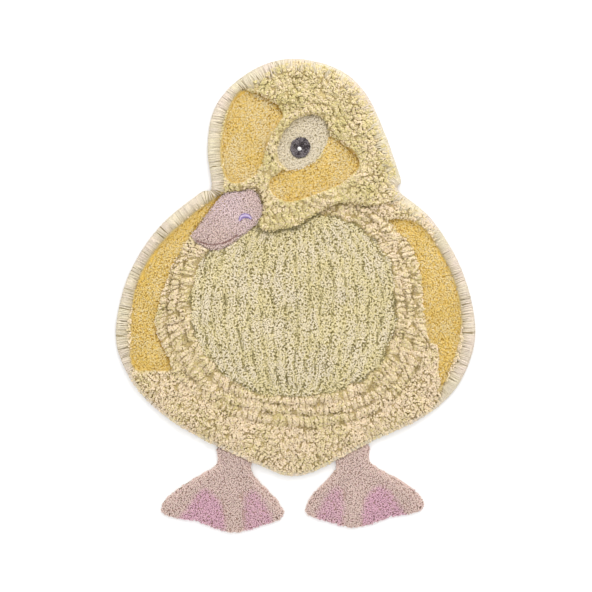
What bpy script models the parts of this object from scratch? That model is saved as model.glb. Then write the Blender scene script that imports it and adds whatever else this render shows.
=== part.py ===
"""A duckling-shaped tufted cotton rug for a child's room, lying flat.

+Y runs from the feet to the crown, +Z is up, and the origin lies on the floor
under the middle of the rug. The rug is one cloth: its solid holds the ground
cloth and the pile on it, long over the head, ruff and lower body, ribbed over
the belly, and cut short on the face, wings and feet. The beak, the pupil with
its glint, and the nostril are separate pieces that are sewn on.
"""

import math

import bmesh
import bpy
import numpy as np
from mathutils import Matrix, geometry, noise

# Driving dimensions, in metres.
LONG_PILE = 0.022
HEAD_RISE = 0.004
BELLY_PILE = 0.017
BELLY_CROWN = 0.003
SHORT_PILE = 0.012
FOOT_PILE = 0.010
RIM_PILE = 0.0055
CLEARANCE = 0.0003

# The outlines, each a smooth closed curve through points (x, y) in metres.
BODY = [
    (0.005, 0.550), (0.105, 0.523), (0.165, 0.468), (0.205, 0.385), (0.235, 0.302),
    (0.246, 0.265), (0.242, 0.242), (0.315, 0.180), (0.380, 0.076), (0.414, -0.035),
    (0.413, -0.125), (0.372, -0.215), (0.295, -0.282), (0.170, -0.341), (0.050, -0.404),
    (-0.012, -0.417), (-0.070, -0.398), (-0.240, -0.318), (-0.345, -0.240), (-0.405, -0.145),
    (-0.414, -0.060), (-0.383, 0.055), (-0.315, 0.160), (-0.222, 0.238), (-0.194, 0.251),
    (-0.203, 0.335), (-0.193, 0.418), (-0.155, 0.480), (-0.082, 0.532),
]
FOREHEAD = [
    (-0.125, 0.472), (-0.070, 0.462), (-0.027, 0.424), (-0.060, 0.368), (-0.068, 0.330),
    (-0.080, 0.295), (-0.112, 0.267), (-0.152, 0.266), (-0.169, 0.325), (-0.158, 0.410),
]
CHEEK = [
    (0.080, 0.371), (0.136, 0.333), (0.149, 0.303), (0.113, 0.264), (0.042, 0.234),
    (-0.010, 0.218), (-0.048, 0.234), (-0.058, 0.268), (-0.030, 0.291), (0.020, 0.297),
    (0.062, 0.325),
]
LEFT_WING = [
    (-0.172, 0.230), (-0.253, 0.173), (-0.325, 0.100), (-0.366, 0.020), (-0.378, -0.080),
    (-0.374, -0.163), (-0.332, -0.171), (-0.286, -0.168), (-0.300, -0.120), (-0.323, -0.068),
    (-0.312, -0.020), (-0.278, 0.076), (-0.230, 0.152),
]
RIGHT_WING = [
    (0.218, 0.174), (0.255, 0.178), (0.300, 0.153), (0.346, 0.081), (0.376, 0.000),
    (0.382, -0.080), (0.364, -0.149), (0.341, -0.204), (0.331, -0.165), (0.329, -0.113),
    (0.308, -0.100), (0.293, -0.010), (0.284, 0.070), (0.262, 0.123),
]
BEAK = [
    (-0.168, 0.233), (-0.128, 0.242), (-0.094, 0.244), (-0.075, 0.203), (-0.090, 0.165),
    (-0.125, 0.137), (-0.160, 0.111), (-0.200, 0.107), (-0.240, 0.135), (-0.220, 0.166),
]
# One foot about its ankle, with the outer side at -X. The other foot is its mirror image.
FOOT = [
    (-0.033, 0.016), (-0.040, -0.028), (-0.114, -0.074), (-0.160, -0.112), (-0.158, -0.144),
    (-0.085, -0.160), (-0.045, -0.175), (0.005, -0.185), (0.065, -0.170), (0.115, -0.150),
    (0.105, -0.113), (0.048, -0.050), (0.036, 0.006),
]
FOOT_TOES = [(-0.150, -0.126), (0.004, -0.175), (0.102, -0.140)]
FEET = [
    {"ankle": (-0.144, -0.362), "side": 1, "size": 1.00},
    {"ankle": (0.137, -0.357), "side": -1, "size": 0.97},
]
# The head's lower edge, from the right of the neck to the left: chin, beak and neck.
HEAD_EDGE = [
    (0.262, 0.236), (0.200, 0.213), (0.150, 0.213), (0.100, 0.216), (0.053, 0.195),
    (0.010, 0.168), (-0.030, 0.157), (-0.066, 0.152), (-0.083, 0.166), (-0.067, 0.203),
    (-0.086, 0.250), (-0.128, 0.248), (-0.170, 0.239), (-0.212, 0.252),
]
CHIN_POINTS = 8
BESIDE_HEAD = [(-0.300, 0.600), (0.300, 0.600)]
MOUTH = [(-0.226, 0.127), (-0.195, 0.119), (-0.160, 0.124), (-0.133, 0.141)]

# Ellipses: centre, half sizes and turn in degrees.
EYE = {"centre": (0.019, 0.357), "half": (0.073, 0.051), "turn": 49}
BELLY = {"centre": (-0.009, -0.023), "half": (0.237, 0.209), "turn": 0}
PUPIL = {"centre": (0.012, 0.343), "half": (0.0245, 0.0222), "turn": 62}
GLINT = {"centre": (0.010, 0.340), "half": (0.0052, 0.0045), "turn": 45}
NOSTRIL = [(-0.1275, 0.1735), (-0.1240, 0.1815), (-0.1155, 0.1850), (-0.1065, 0.1830), (-0.1005, 0.1775)]

# The four grooves between the ruff's rows, which run round the belly: an angle in degrees, and how
# far out each of them lies there, in shares of the belly's ellipse. The first is the belly's edge.
GROOVES = [
    (-215, 1.000, 1.130, 1.200, 1.270),
    (-195, 0.990, 1.105, 1.185, 1.290),
    (-178, 0.985, 1.095, 1.200, 1.350),
    (-160, 0.980, 1.070, 1.250, 1.360),
    (-145, 0.980, 1.090, 1.265, 1.370),
    (-128, 1.000, 1.130, 1.265, 1.340),
    (-110, 1.000, 1.105, 1.210, 1.325),
    (-92, 1.005, 1.090, 1.190, 1.320),
    (-75, 1.010, 1.115, 1.240, 1.360),
    (-57, 1.045, 1.170, 1.315, 1.420),
    (-40, 1.075, 1.185, 1.310, 1.425),
    (-20, 1.050, 1.140, 1.250, 1.390),
    (-5, 1.020, 1.110, 1.195, 1.380),
    (15, 1.025, 1.110, 1.190, 1.360),
    (32, 1.080, 1.140, 1.200, 1.330),
    (60, 1.090, 1.160, 1.230, 1.300),
    (100, 1.050, 1.120, 1.190, 1.270),
]

# The relief of the pile.
BORDER = 0.040
LOCK_PITCH = 0.0102
LOCK_OUT = 0.0015
LOCK_LIFT = 0.0022
LUMP = 0.0040
LUMP_SIZE = 0.030
RUFF_LUMP = 0.0020
CUT_LUMP = 0.0010
RIBS = 17
RIB_DEPTH = 0.0045
RIB_TAPER = 0.35
GROOVE_DEPTH = 0.0062
GROOVE_WIDTH = 0.0068
CHIN_RIDGE = 0.005
CHIN_WIDTH = 0.018
TOE_LIFT = 0.0028
TOE_WIDTH = 0.012
FOOT_ROUND = 0.014
OVER_FOOT = 0.004

# The sewn-on pieces.
BEAK_BED = 0.010
BEAK_EDGE = 0.004
BEAK_CROWN = 0.010
BEAK_ROUND = 0.026
BEAK_POCKET = 0.004
MOUTH_DEPTH = 0.0022
MOUTH_WIDTH = 0.005
PUPIL_THICK = 0.0026
GLINT_THICK = 0.0016
STITCH_SIDES = 24
STITCH_ROUNDING = 0.45
NOSTRIL_RADIUS = 0.0042
NOSTRIL_FLATNESS = 0.55
NOSTRIL_TIP = 0.35
NOSTRIL_STEPS = 11

# Spacing of the points that the relief is built on.
CUT_WIDTH = 0.0045
EDGE_WIDTH = 0.001
STEP_CLEAR = 0.006
EDGE_STEP = 0.015
FOOT_EDGE_STEP = 0.012
BEAK_STEP = 0.010
RIB_STEP = 0.021
ROW_STEP = 0.016
LUMP_STEP = 0.0155
BEAK_FILL_STEP = 0.012
FLAT_STEP = 0.028
TOE_STEPS = 10
CURVE_STEPS = 16
CROWDING = 0.62
BORDER_ROWS = [
    {"inset": 0.010, "per_lock": 2},
    {"inset": 0.022, "per_lock": 1},
    {"inset": 0.034, "per_lock": 1},
]
BEAK_RINGS = (0.0065, 0.012, 0.021)

COLOURS = {
    "rug": (0.68, 0.56, 0.32, 1.0),
    "beak": (0.60, 0.44, 0.40, 1.0),
    "pupil": (0.13, 0.11, 0.12, 1.0),
    "pupil_glint": (0.88, 0.87, 0.85, 1.0),
    "nostril": (0.50, 0.40, 0.72, 1.0),
}
COTTON_ROUGHNESS = 0.95
STITCH_ROUGHNESS = 0.6


def clear_scene():
    for obj in list(bpy.data.objects):
        bpy.data.objects.remove(obj, do_unlink=True)


def collection_for(name):
    collection = bpy.data.collections.new(name)
    bpy.context.scene.collection.children.link(collection)
    return collection


def material_for(name, roughness):
    """A Principled material in the piece's own colour."""
    material = bpy.data.materials.new(name + "_yarn")
    material.use_nodes = True
    shader = material.node_tree.nodes["Principled BSDF"]
    shader.inputs["Base Color"].default_value = COLOURS[name]
    shader.inputs["Roughness"].default_value = roughness
    shader.inputs["Metallic"].default_value = 0.0
    return material


# ---- Curves and outlines in the plane ----


def smooth(points, closed=True):
    """A dense Catmull-Rom curve through the points, as an array of (x, y)."""
    points = np.array(points, float)
    if closed:
        padded = np.vstack([points[-1:], points, points[:2]])
    else:
        padded = np.vstack([2 * points[:1] - points[1:2], points, 2 * points[-1:] - points[-2:-1]])
    t = np.linspace(0, 1, CURVE_STEPS, endpoint=False)[:, None]
    spans = []
    for a, b, c, d in zip(padded, padded[1:], padded[2:], padded[3:]):
        bend = 2 * a - 5 * b + 4 * c - d
        twist = -a + 3 * b - 3 * c + d
        spans.append(0.5 * (2 * b + (c - a) * t + bend * t**2 + twist * t**3))
    curve = np.vstack(spans)
    return curve if closed else np.vstack([curve, points[-1:]])


def along(line, step, closed=True, count=None):
    """The line resampled to points an even step apart, or to a count of them."""
    ring = np.vstack([line, line[:1]]) if closed else line
    run = np.concatenate([[0], np.cumsum(np.linalg.norm(np.diff(ring, axis=0), axis=1))])
    count = count or max(4, round(run[-1] / step))
    at = np.linspace(0, run[-1], count, endpoint=False) if closed else np.linspace(0, run[-1], count)
    return np.stack([np.interp(at, run, ring[:, k]) for k in (0, 1)], axis=1)


def outward(loop):
    """The unit normals of a closed loop, pointing out of it."""
    tangent = np.roll(loop, -1, axis=0) - np.roll(loop, 1, axis=0)
    normal = np.stack([tangent[:, 1], -tangent[:, 0]], axis=1)
    normal /= np.maximum(np.linalg.norm(normal, axis=1, keepdims=True), 1e-9)
    x, y = loop.T
    area = np.sum(x * np.roll(y, -1) - np.roll(x, -1) * y)
    return normal if area > 0 else -normal


def inside(points, loop):
    """Whether each point lies inside the closed loop."""
    x, y = points[:, :1], points[:, 1:]
    x0, y0 = loop.T
    x1, y1 = np.roll(loop, -1, axis=0).T
    spans = (y0 > y) != (y1 > y)
    rise = np.where(y1 == y0, 1e-12, y1 - y0)
    crossing = x0 + (y - y0) / rise * (x1 - x0)
    return (spans & (x < crossing)).sum(axis=1) % 2 == 1


def nearest(points, line, closed=True):
    """Each point's distance to the line, and how far along the line that place is."""
    start = line if closed else line[:-1]
    step = (np.roll(line, -1, axis=0) if closed else line[1:]) - start
    length = np.linalg.norm(step, axis=1)
    before = np.concatenate([[0], np.cumsum(length)[:-1]])
    offset = points[:, None] - start
    share = np.clip((offset * step).sum(axis=2) / np.maximum(length**2, 1e-12), 0, 1)
    gaps = np.linalg.norm(offset - share[..., None] * step, axis=2)
    best = gaps.argmin(axis=1)
    rows = np.arange(len(points))
    return gaps[rows, best], before[best] + share[rows, best] * length[best]


def ellipse_place(points, ellipse):
    """The points in the ellipse's own axes, where its edge is the unit circle."""
    turn = math.radians(ellipse["turn"])
    local = points - np.array(ellipse["centre"])
    along_x = local[:, 0] * math.cos(turn) + local[:, 1] * math.sin(turn)
    along_y = local[:, 1] * math.cos(turn) - local[:, 0] * math.sin(turn)
    return np.stack([along_x / ellipse["half"][0], along_y / ellipse["half"][1]], axis=1)


def ellipse_points(ellipse, unit):
    """Points given in the ellipse's own axes, back in the plane."""
    turn = math.radians(ellipse["turn"])
    x, y = (np.asarray(unit) * ellipse["half"]).T
    turned = [x * math.cos(turn) - y * math.sin(turn), x * math.sin(turn) + y * math.cos(turn)]
    return np.stack(turned, axis=1) + ellipse["centre"]


def ring_line(radii):
    """The closed line round the belly that is as far out as given at each of the grooves' angles."""
    angle = np.radians([row[0] for row in GROOVES])
    unit = np.stack([np.cos(angle), np.sin(angle)], axis=1) * radii[:, None]
    return smooth(ellipse_points(BELLY, unit))


def ellipse_loop(ellipse, count=96):
    angle = np.linspace(0, 2 * math.pi, count, endpoint=False)
    return ellipse_points(ellipse, np.stack([np.cos(angle), np.sin(angle)], axis=1))


def on_foot(points, foot):
    """Points of the foot's own table, placed at its ankle and mirrored for its side."""
    return np.array(points) * (foot["size"] * foot["side"], foot["size"]) + foot["ankle"]


BODY_LOOP = smooth(BODY)
BODY_LENGTH = np.linalg.norm(np.roll(BODY_LOOP, -1, axis=0) - BODY_LOOP, axis=1).sum()
LOCKS = round(BODY_LENGTH / LOCK_PITCH)
FEET_LOOPS = [smooth(on_foot(FOOT, foot)) for foot in FEET]
CUT_FIELDS = [smooth(points) for points in (FOREHEAD, CHEEK, LEFT_WING, RIGHT_WING)]
EYE_LOOP = ellipse_loop(EYE)
BEAK_LOOP = smooth(BEAK)
HEAD_LINE = smooth(HEAD_EDGE, closed=False)
HEAD_LOOP = np.vstack([HEAD_LINE, BESIDE_HEAD])
CHIN_LINE = smooth(HEAD_EDGE[:CHIN_POINTS], closed=False)
GROOVE_RADII = np.array(GROOVES)[:, 1:].T
GROOVE_LOOPS = [ring_line(radii) for radii in GROOVE_RADII]
CREST_LOOPS = [ring_line(radii) for radii in (GROOVE_RADII[1:] + GROOVE_RADII[:-1]) / 2]


# ---- The height of the pile ----


def unevenness(points, size):
    """Smooth noise from about -1 to 1, with lumps of the given size."""
    return np.array([noise.noise((x / size, y / size, 0.5)) * 1.8 for x, y in points])


def rounded(share):
    """A quarter-circle rise from 0 at share 0 to 1 at share 1."""
    share = np.clip(share, 0, 1)
    return np.sqrt(1 - (1 - share) ** 2)


def waves(phase):
    """0 in the troughs, at whole phases, and 1 on the crests between them."""
    return 0.5 - 0.5 * np.cos(2 * math.pi * phase)


def varied(index, low, high):
    """A fixed but irregular value for each whole index."""
    return low + (high - low) * (0.5 + 0.5 * np.sin(np.floor(index) * 2.4 + 0.7))


def rib_width(y):
    """How wide the ribs are at a height in the belly, where 1 is their width at its middle."""
    return RIB_TAPER + (1 - RIB_TAPER) * np.sqrt(np.clip(1 - y**2, 0, 1))


def belly_height(unit):
    """A low crown with curved ribs that run down it and close up towards its ends."""
    rib = (unit[:, 0] / rib_width(unit[:, 1]) + 1) * RIBS / 2
    depth = varied(rib, 0.45, 1.0) * RIB_DEPTH
    crown = BELLY_CROWN * (1 - (unit**2).sum(axis=1))
    return BELLY_PILE + crown - depth * (1 - waves(rib))


def foot_height(points, foot, loop):
    """Short pile with a soft ridge down each toe, rounded off at the foot's edge."""
    toes = [np.array([foot["ankle"], on_foot([toe], foot)[0]]) for toe in FOOT_TOES]
    gap = np.min([nearest(points, toe, closed=False)[0] for toe in toes], axis=0)
    top = FOOT_PILE + TOE_LIFT * np.exp(-((gap / TOE_WIDTH) ** 2))
    edge = nearest(points, loop)[0]
    return RIM_PILE + (top - RIM_PILE) * rounded(edge / FOOT_ROUND)


def pile_height(points):
    """The height of the rug's top over the floor at each point."""
    lumps = unevenness(points, LUMP_SIZE)
    ruff = inside(points, GROOVE_LOOPS[-1])
    groove = np.min([nearest(points, loop)[0] for loop in GROOVE_LOOPS], axis=0)
    z = LONG_PILE + np.where(ruff, RUFF_LUMP, LUMP) * lumps
    z -= GROOVE_DEPTH * np.exp(-((groove / GROOVE_WIDTH) ** 2))
    belly = inside(points, GROOVE_LOOPS[0])
    z[belly] = belly_height(ellipse_place(points[belly], BELLY))

    head = inside(points, HEAD_LOOP)
    chin = nearest(points, CHIN_LINE, closed=False)[0]
    fringe = CHIN_RIDGE * np.exp(-((chin / CHIN_WIDTH) ** 2))
    z[head] = LONG_PILE + HEAD_RISE + LUMP * lumps[head] + fringe[head]
    z[~head] -= fringe[~head] / 2

    edge, run = nearest(points, BODY_LOOP)
    lock = run / BODY_LENGTH * LOCKS
    leaning = np.clip(1 - edge / BORDER, 0, 1)
    lift = LOCK_LIFT * varied(lock + 0.5, 0.5, 1.0) * (0.5 - waves(lock)) * np.sqrt(leaning)
    z = RIM_PILE + (z - RIM_PILE) * rounded(edge / BORDER) + lift

    for loop in CUT_FIELDS:
        field = inside(points, loop)
        z[field] = SHORT_PILE + CUT_LUMP * lumps[field]
    z[inside(points, EYE_LOOP)] = SHORT_PILE
    z[inside(points, BEAK_LOOP)] = BEAK_BED

    body = inside(points, BODY_LOOP)
    for foot, loop in zip(FEET, FEET_LOOPS):
        held = inside(points, loop)
        bare = (held | (nearest(points, loop)[0] < EDGE_WIDTH)) & ~body
        z[bare] = foot_height(points[bare], foot, loop)
        z[held & body] = np.maximum(z[held & body], FOOT_PILE + OVER_FOOT)
    return z


# ---- The points that the relief is built on ----


class Spread:
    """Points that don't crowd each other, so that the triangles between them stay even."""

    def __init__(self):
        self.points = []
        self.boxes = {}

    def has_room(self, point, clear):
        column, row = (int(c // FLAT_STEP) for c in point)
        near = [
            kept
            for i in (column - 1, column, column + 1)
            for j in (row - 1, row, row + 1)
            for kept in self.boxes.get((i, j), ())
        ]
        return all(math.dist(point, kept) >= clear for kept in near)

    def add(self, points, step):
        """Adds each point that isn't crowded, for points that are a step apart."""
        for point in map(tuple, points):
            if self.has_room(point, step * CROWDING):
                self.points.append(point)
                box = tuple(int(c // FLAT_STEP) for c in point)
                self.boxes.setdefault(box, []).append(point)


def lock_points(inset, per_lock):
    """Points along the border's locks, at a distance in from the body's edge."""
    base = along(BODY_LOOP, 0, count=LOCKS * per_lock)
    return base - outward(base) * inset


def rim_of_body():
    """The jagged edge of the body: a tip at each lock, and a notch between two locks."""
    base = along(BODY_LOOP, 0, count=LOCKS * 2)
    out = np.where(np.arange(len(base)) % 2 == 0, LOCK_OUT, -LOCK_OUT)
    return base + outward(base) * out[:, None]


def both_sides(loop, step, width, closed=True):
    """Pairs of points on either side of a field's edge, where the pile steps up or down."""
    line = along(loop, step, closed)
    side = outward(line) * width / 2
    return np.vstack([line + side, line - side])


def rib_points():
    """Points on each rib's crest and in each trough of the belly."""
    y = np.arange(-0.95, 0.951, RIB_STEP / BELLY["half"][1])
    across = np.arange(1, 2 * RIBS) / RIBS - 1
    unit = np.vstack([np.stack([share * rib_width(y), y], axis=1) for share in across])
    return ellipse_points(BELLY, unit[np.linalg.norm(unit, axis=1) < 0.96])


def row_points():
    """Points in each groove of the ruff, and along the crest of each row between two grooves."""
    return np.vstack([along(loop, ROW_STEP) for loop in [*GROOVE_LOOPS, *CREST_LOOPS]])


def toe_points():
    """Points along each toe's ridge and down its two sides."""
    lines = []
    for foot in FEET:
        for toe in FOOT_TOES:
            line = np.array([foot["ankle"], on_foot([toe], foot)[0]])
            ridge = along(line, 0, closed=False, count=TOE_STEPS)
            side = outward(line)[0] * TOE_WIDTH
            lines += [ridge, ridge + side, ridge - side]
    points = np.vstack(lines)
    held = np.any([inside(points, loop) for loop in FEET_LOOPS], axis=0)
    edge = np.min([nearest(points, loop)[0] for loop in FEET_LOOPS], axis=0)
    return points[held & (edge > STEP_CLEAR) & ~inside(points, BODY_LOOP)]


def grid_points(loop, step):
    """A grid of triangles' corners over the loop's box, kept inside the loop."""
    low, high = loop.min(axis=0), loop.max(axis=0)
    rise = step * math.sqrt(3) / 2
    rows = []
    for j, y in enumerate(np.arange(low[1] + rise / 2, high[1], rise)):
        x = np.arange(low[0] + (j % 2) * step / 2, high[0], step)
        rows.append(np.stack([x, np.full(len(x), y)], axis=1))
    grid = np.vstack(rows)
    return grid[inside(grid, loop)]


def open_pile(points):
    """The points that lie on long pile, away from the steps at the edges of the fields."""
    kept = inside(points, BODY_LOOP) & (nearest(points, HEAD_LINE, closed=False)[0] > STEP_CLEAR)
    for loop in [*CUT_FIELDS, EYE_LOOP, BEAK_LOOP]:
        kept &= ~inside(points, loop) & (nearest(points, loop)[0] > STEP_CLEAR)
    return points[kept]


def rug_points(rims):
    """All the points of the rug's top, the sharpest features first."""
    spread = Spread()
    for rim in rims:
        spread.add(rim, 0)
    spread.add(both_sides(BEAK_LOOP, BEAK_STEP, CUT_WIDTH), CUT_WIDTH)
    for loop in [EYE_LOOP, *CUT_FIELDS]:
        spread.add(both_sides(loop, EDGE_STEP, CUT_WIDTH), CUT_WIDTH)
    head = both_sides(HEAD_LINE, EDGE_STEP, CUT_WIDTH, closed=False)
    spread.add(head[inside(head, BODY_LOOP)], CUT_WIDTH)
    for row in BORDER_ROWS:
        points = lock_points(row["inset"], row["per_lock"])
        spread.add(open_pile(points), LOCK_PITCH / row["per_lock"])
    relief = open_pile(np.vstack([row_points(), rib_points()]))
    rib = BELLY["half"][0] / RIBS
    spread.add(relief[~inside(relief, HEAD_LOOP)], rib)
    lumps = open_pile(grid_points(BODY_LOOP, LUMP_STEP))
    spread.add(lumps[~inside(lumps, GROOVE_LOOPS[0]) | inside(lumps, HEAD_LOOP)], LUMP_STEP)
    spread.add(toe_points(), TOE_WIDTH)
    for loop in FEET_LOOPS:
        spread.add(grid_points(loop, LUMP_STEP), LUMP_STEP)
    spread.add(grid_points(BODY_LOOP, FLAT_STEP), FLAT_STEP)
    return np.array(spread.points)


# ---- Solids ----


def relief_solid(name, rims, points, height, floor_z):
    """A closed solid with a flat underside, whose top passes through the points at their height.

    The rims are closed loops, and the solid covers all that lies in any of them.
    """
    corners = [tuple(p) for rim in rims for p in rim]
    edges, first = [], 0
    for rim in rims:
        edges += [(first + k, first + (k + 1) % len(rim)) for k in range(len(rim))]
        first += len(rim)
    inner = [tuple(p) for p in points if tuple(p) not in set(corners)]
    placed, _, faces, *_ = geometry.delaunay_2d_cdt(corners + inner, edges, [], 1, 1e-6)
    flat = np.array([tuple(p) for p in placed])
    z = height(flat)

    mesh = bpy.data.meshes.new(name)
    mesh.from_pydata([(x, y, top) for (x, y), top in zip(flat, z)], [], faces)
    form = bmesh.new()
    form.from_mesh(mesh)
    bmesh.ops.delete(form, geom=[v for v in form.verts if not v.link_faces], context="VERTS")
    rim_edges = [edge for edge in form.edges if edge.is_boundary]
    walls = bmesh.ops.extrude_edge_only(form, edges=rim_edges)["geom"]
    low = {item for item in walls if isinstance(item, bmesh.types.BMVert)}
    for corner in low:
        corner.co.z = floor_z
    low_edges = [edge for edge in form.edges if low.issuperset(edge.verts)]
    bmesh.ops.triangle_fill(form, use_beauty=True, edges=low_edges, normal=(0, 0, -1))
    bmesh.ops.recalc_face_normals(form, faces=form.faces)
    form.to_mesh(mesh)
    form.free()
    return bpy.data.objects.new(name, mesh)


def beak_height(points):
    """The top of the beak: puffed at the rim, level in the middle, creased at the mouth."""
    edge, _ = nearest(points, BEAK_LOOP)
    top = BEAK_BED + CLEARANCE + BEAK_EDGE + BEAK_CROWN * rounded(edge / BEAK_ROUND)
    gap, _ = nearest(points, smooth(MOUTH, closed=False), closed=False)
    return top - MOUTH_DEPTH * np.exp(-((gap / MOUTH_WIDTH) ** 2))


def make_rug():
    """The rug's one cloth, with the locks of its rim."""
    rims = [rim_of_body(), *(along(loop, FOOT_EDGE_STEP) for loop in FEET_LOOPS)]
    rug = relief_solid("rug", rims, rug_points(rims), pile_height, 0.0)
    rug.data.shade_smooth()
    rug.data.set_sharp_from_angle(angle=math.radians(40))
    return rug


def make_beak():
    """A padded patch of fine plush, lying in its place on the short pile."""
    line = along(BEAK_LOOP, BEAK_STEP)
    rim = line - outward(line) * BEAK_POCKET
    spread = Spread()
    spread.add(rim, 0)
    for inset in BEAK_RINGS:
        ring = line - outward(line) * inset
        spread.add(ring[inside(ring, rim)], BEAK_RINGS[0])
    spread.add(grid_points(rim, BEAK_FILL_STEP), BEAK_FILL_STEP)
    beak = relief_solid("beak", [rim], np.array(spread.points), beak_height, BEAK_BED + CLEARANCE)
    beak.data.shade_smooth()
    beak.data.set_sharp_from_angle(angle=math.radians(50))
    return beak


def make_stitched_disc(name, ellipse, thickness, floor_z):
    """A patch of dense embroidery: a low elliptical disc with a rounded top edge."""
    form = bmesh.new()
    bmesh.ops.create_cone(
        form, cap_ends=True, segments=STITCH_SIDES, radius1=1, radius2=1, depth=1
    )
    size = Matrix.Diagonal((*ellipse["half"], thickness, 1))
    turn = Matrix.Rotation(math.radians(ellipse["turn"]), 4, "Z")
    bmesh.ops.transform(form, matrix=turn @ size, verts=form.verts)
    mesh = bpy.data.meshes.new(name)
    form.to_mesh(mesh)
    form.free()
    disc = bpy.data.objects.new(name, mesh)
    disc.location = (*ellipse["centre"], floor_z + thickness / 2)
    bevel = disc.modifiers.new("rounded_edge", "BEVEL")
    bevel.width = thickness * STITCH_ROUNDING
    bevel.segments = 2
    bevel.limit_method = "ANGLE"
    return disc


def make_nostril():
    """A flat crescent of satin stitch on the level middle of the beak."""
    curve = bpy.data.curves.new("nostril", "CURVE")
    curve.dimensions = "3D"
    curve.bevel_depth = NOSTRIL_RADIUS
    curve.bevel_resolution = 2
    curve.use_fill_caps = True
    points = along(smooth(NOSTRIL, closed=False), 0, closed=False, count=NOSTRIL_STEPS)
    spline = curve.splines.new("POLY")
    spline.points.add(len(points) - 1)
    for k, (point, (x, y)) in enumerate(zip(spline.points, points)):
        point.co = (x, y, 0, 1)
        point.radius = NOSTRIL_TIP + (1 - NOSTRIL_TIP) * math.sin(math.pi * k / (len(points) - 1))
    nostril = bpy.data.objects.new("nostril", curve)
    beak_top = BEAK_BED + CLEARANCE + BEAK_EDGE + BEAK_CROWN
    nostril.location.z = beak_top + CLEARANCE + NOSTRIL_RADIUS * NOSTRIL_FLATNESS
    nostril.scale.z = NOSTRIL_FLATNESS
    return nostril


def build():
    clear_scene()
    rug = collection_for("duckling_rug")
    eye_top = SHORT_PILE + CLEARANCE
    pieces = [
        (make_rug(), COTTON_ROUGHNESS),
        (make_beak(), COTTON_ROUGHNESS),
        (make_stitched_disc("pupil", PUPIL, PUPIL_THICK, eye_top), STITCH_ROUGHNESS),
        (
            make_stitched_disc("pupil_glint", GLINT, GLINT_THICK, eye_top + PUPIL_THICK + CLEARANCE),
            STITCH_ROUGHNESS,
        ),
        (make_nostril(), STITCH_ROUGHNESS),
    ]
    for piece, roughness in pieces:
        rug.objects.link(piece)
        piece.data.materials.append(material_for(piece.name, roughness))


build()
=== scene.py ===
"""The looks of a duckling-shaped tufted rug: its pile, its ground cloth and the pieces sewn on it.

The rug lies on the floor with its head towards +Y. The pile is made of separate yarns, joined into
one mesh for each field. Their tops follow the frame's solid, whose height is read from its mesh.
"""

import math
from collections import namedtuple

import bmesh
import bpy
import numpy as np
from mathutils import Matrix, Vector
from mathutils.bvhtree import BVHTree
from mathutils.geometry import delaunay_2d_cdt
from mathutils.kdtree import KDTree


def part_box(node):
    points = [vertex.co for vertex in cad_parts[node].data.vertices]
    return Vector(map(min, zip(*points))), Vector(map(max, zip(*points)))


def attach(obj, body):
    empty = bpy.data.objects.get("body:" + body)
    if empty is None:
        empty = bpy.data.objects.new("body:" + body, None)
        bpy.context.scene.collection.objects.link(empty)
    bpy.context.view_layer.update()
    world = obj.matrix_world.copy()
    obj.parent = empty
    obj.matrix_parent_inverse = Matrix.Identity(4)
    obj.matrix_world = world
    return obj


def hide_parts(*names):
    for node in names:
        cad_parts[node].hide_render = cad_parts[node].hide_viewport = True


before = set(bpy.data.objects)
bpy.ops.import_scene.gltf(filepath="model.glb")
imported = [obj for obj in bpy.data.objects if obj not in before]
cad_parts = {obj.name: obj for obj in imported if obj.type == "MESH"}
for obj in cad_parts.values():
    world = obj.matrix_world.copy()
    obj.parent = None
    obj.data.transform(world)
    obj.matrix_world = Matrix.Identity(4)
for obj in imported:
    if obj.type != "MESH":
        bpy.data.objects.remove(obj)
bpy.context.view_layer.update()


def metres(millimetres):
    """A table of points (x, y) given in millimetres, in metres."""
    return np.array(millimetres, float) / 1000


# The outlines, as in the frame: each is the smooth curve through its points.
BODY = metres([
    (5, 550), (105, 523), (165, 468), (205, 385), (235, 302), (246, 265), (242, 242), (315, 180),
    (380, 76), (414, -35), (413, -125), (372, -215), (295, -282), (170, -341), (50, -404),
    (-12, -417), (-70, -398), (-240, -318), (-345, -240), (-405, -145), (-414, -60), (-383, 55),
    (-315, 160), (-222, 238), (-194, 251), (-203, 335), (-193, 418), (-155, 480), (-82, 532),
])
FOREHEAD = metres([
    (-125, 472), (-70, 462), (-27, 424), (-60, 368), (-68, 330), (-80, 295), (-112, 267),
    (-152, 266), (-169, 325), (-158, 410),
])
CHEEK = metres([
    (80, 371), (136, 333), (149, 303), (113, 264), (42, 234), (-10, 218), (-48, 234), (-58, 268),
    (-30, 291), (20, 297), (62, 325),
])
LEFT_WING = metres([
    (-172, 230), (-253, 173), (-325, 100), (-366, 20), (-378, -80), (-374, -163), (-332, -171),
    (-286, -168), (-300, -120), (-323, -68), (-312, -20), (-278, 76), (-230, 152),
])
RIGHT_WING = metres([
    (218, 174), (255, 178), (300, 153), (346, 81), (376, 0), (382, -80), (364, -149), (341, -204),
    (331, -165), (329, -113), (308, -100), (293, -10), (284, 70), (262, 123),
])
BEAK = metres([
    (-168, 233), (-128, 242), (-94, 244), (-75, 203), (-90, 165), (-125, 137), (-160, 111),
    (-200, 107), (-240, 135), (-220, 166),
])
HEAD_EDGE = metres([
    (262, 236), (200, 213), (150, 213), (100, 216), (53, 195), (10, 168), (-30, 157), (-66, 152),
    (-83, 166), (-67, 203), (-86, 250), (-128, 248), (-170, 239), (-212, 252),
])
BESIDE_HEAD = metres([(-300, 600), (300, 600)])
MOUTH = metres([(-226, 127), (-195, 119), (-160, 124), (-133, 141)])
NOSTRIL = metres([(-127.5, 173.5), (-124, 181.5), (-115.5, 185), (-106.5, 183), (-100.5, 177.5)])
EYE = {"centre": (0.019, 0.357), "half": (0.073, 0.051), "turn": 49}
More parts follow.
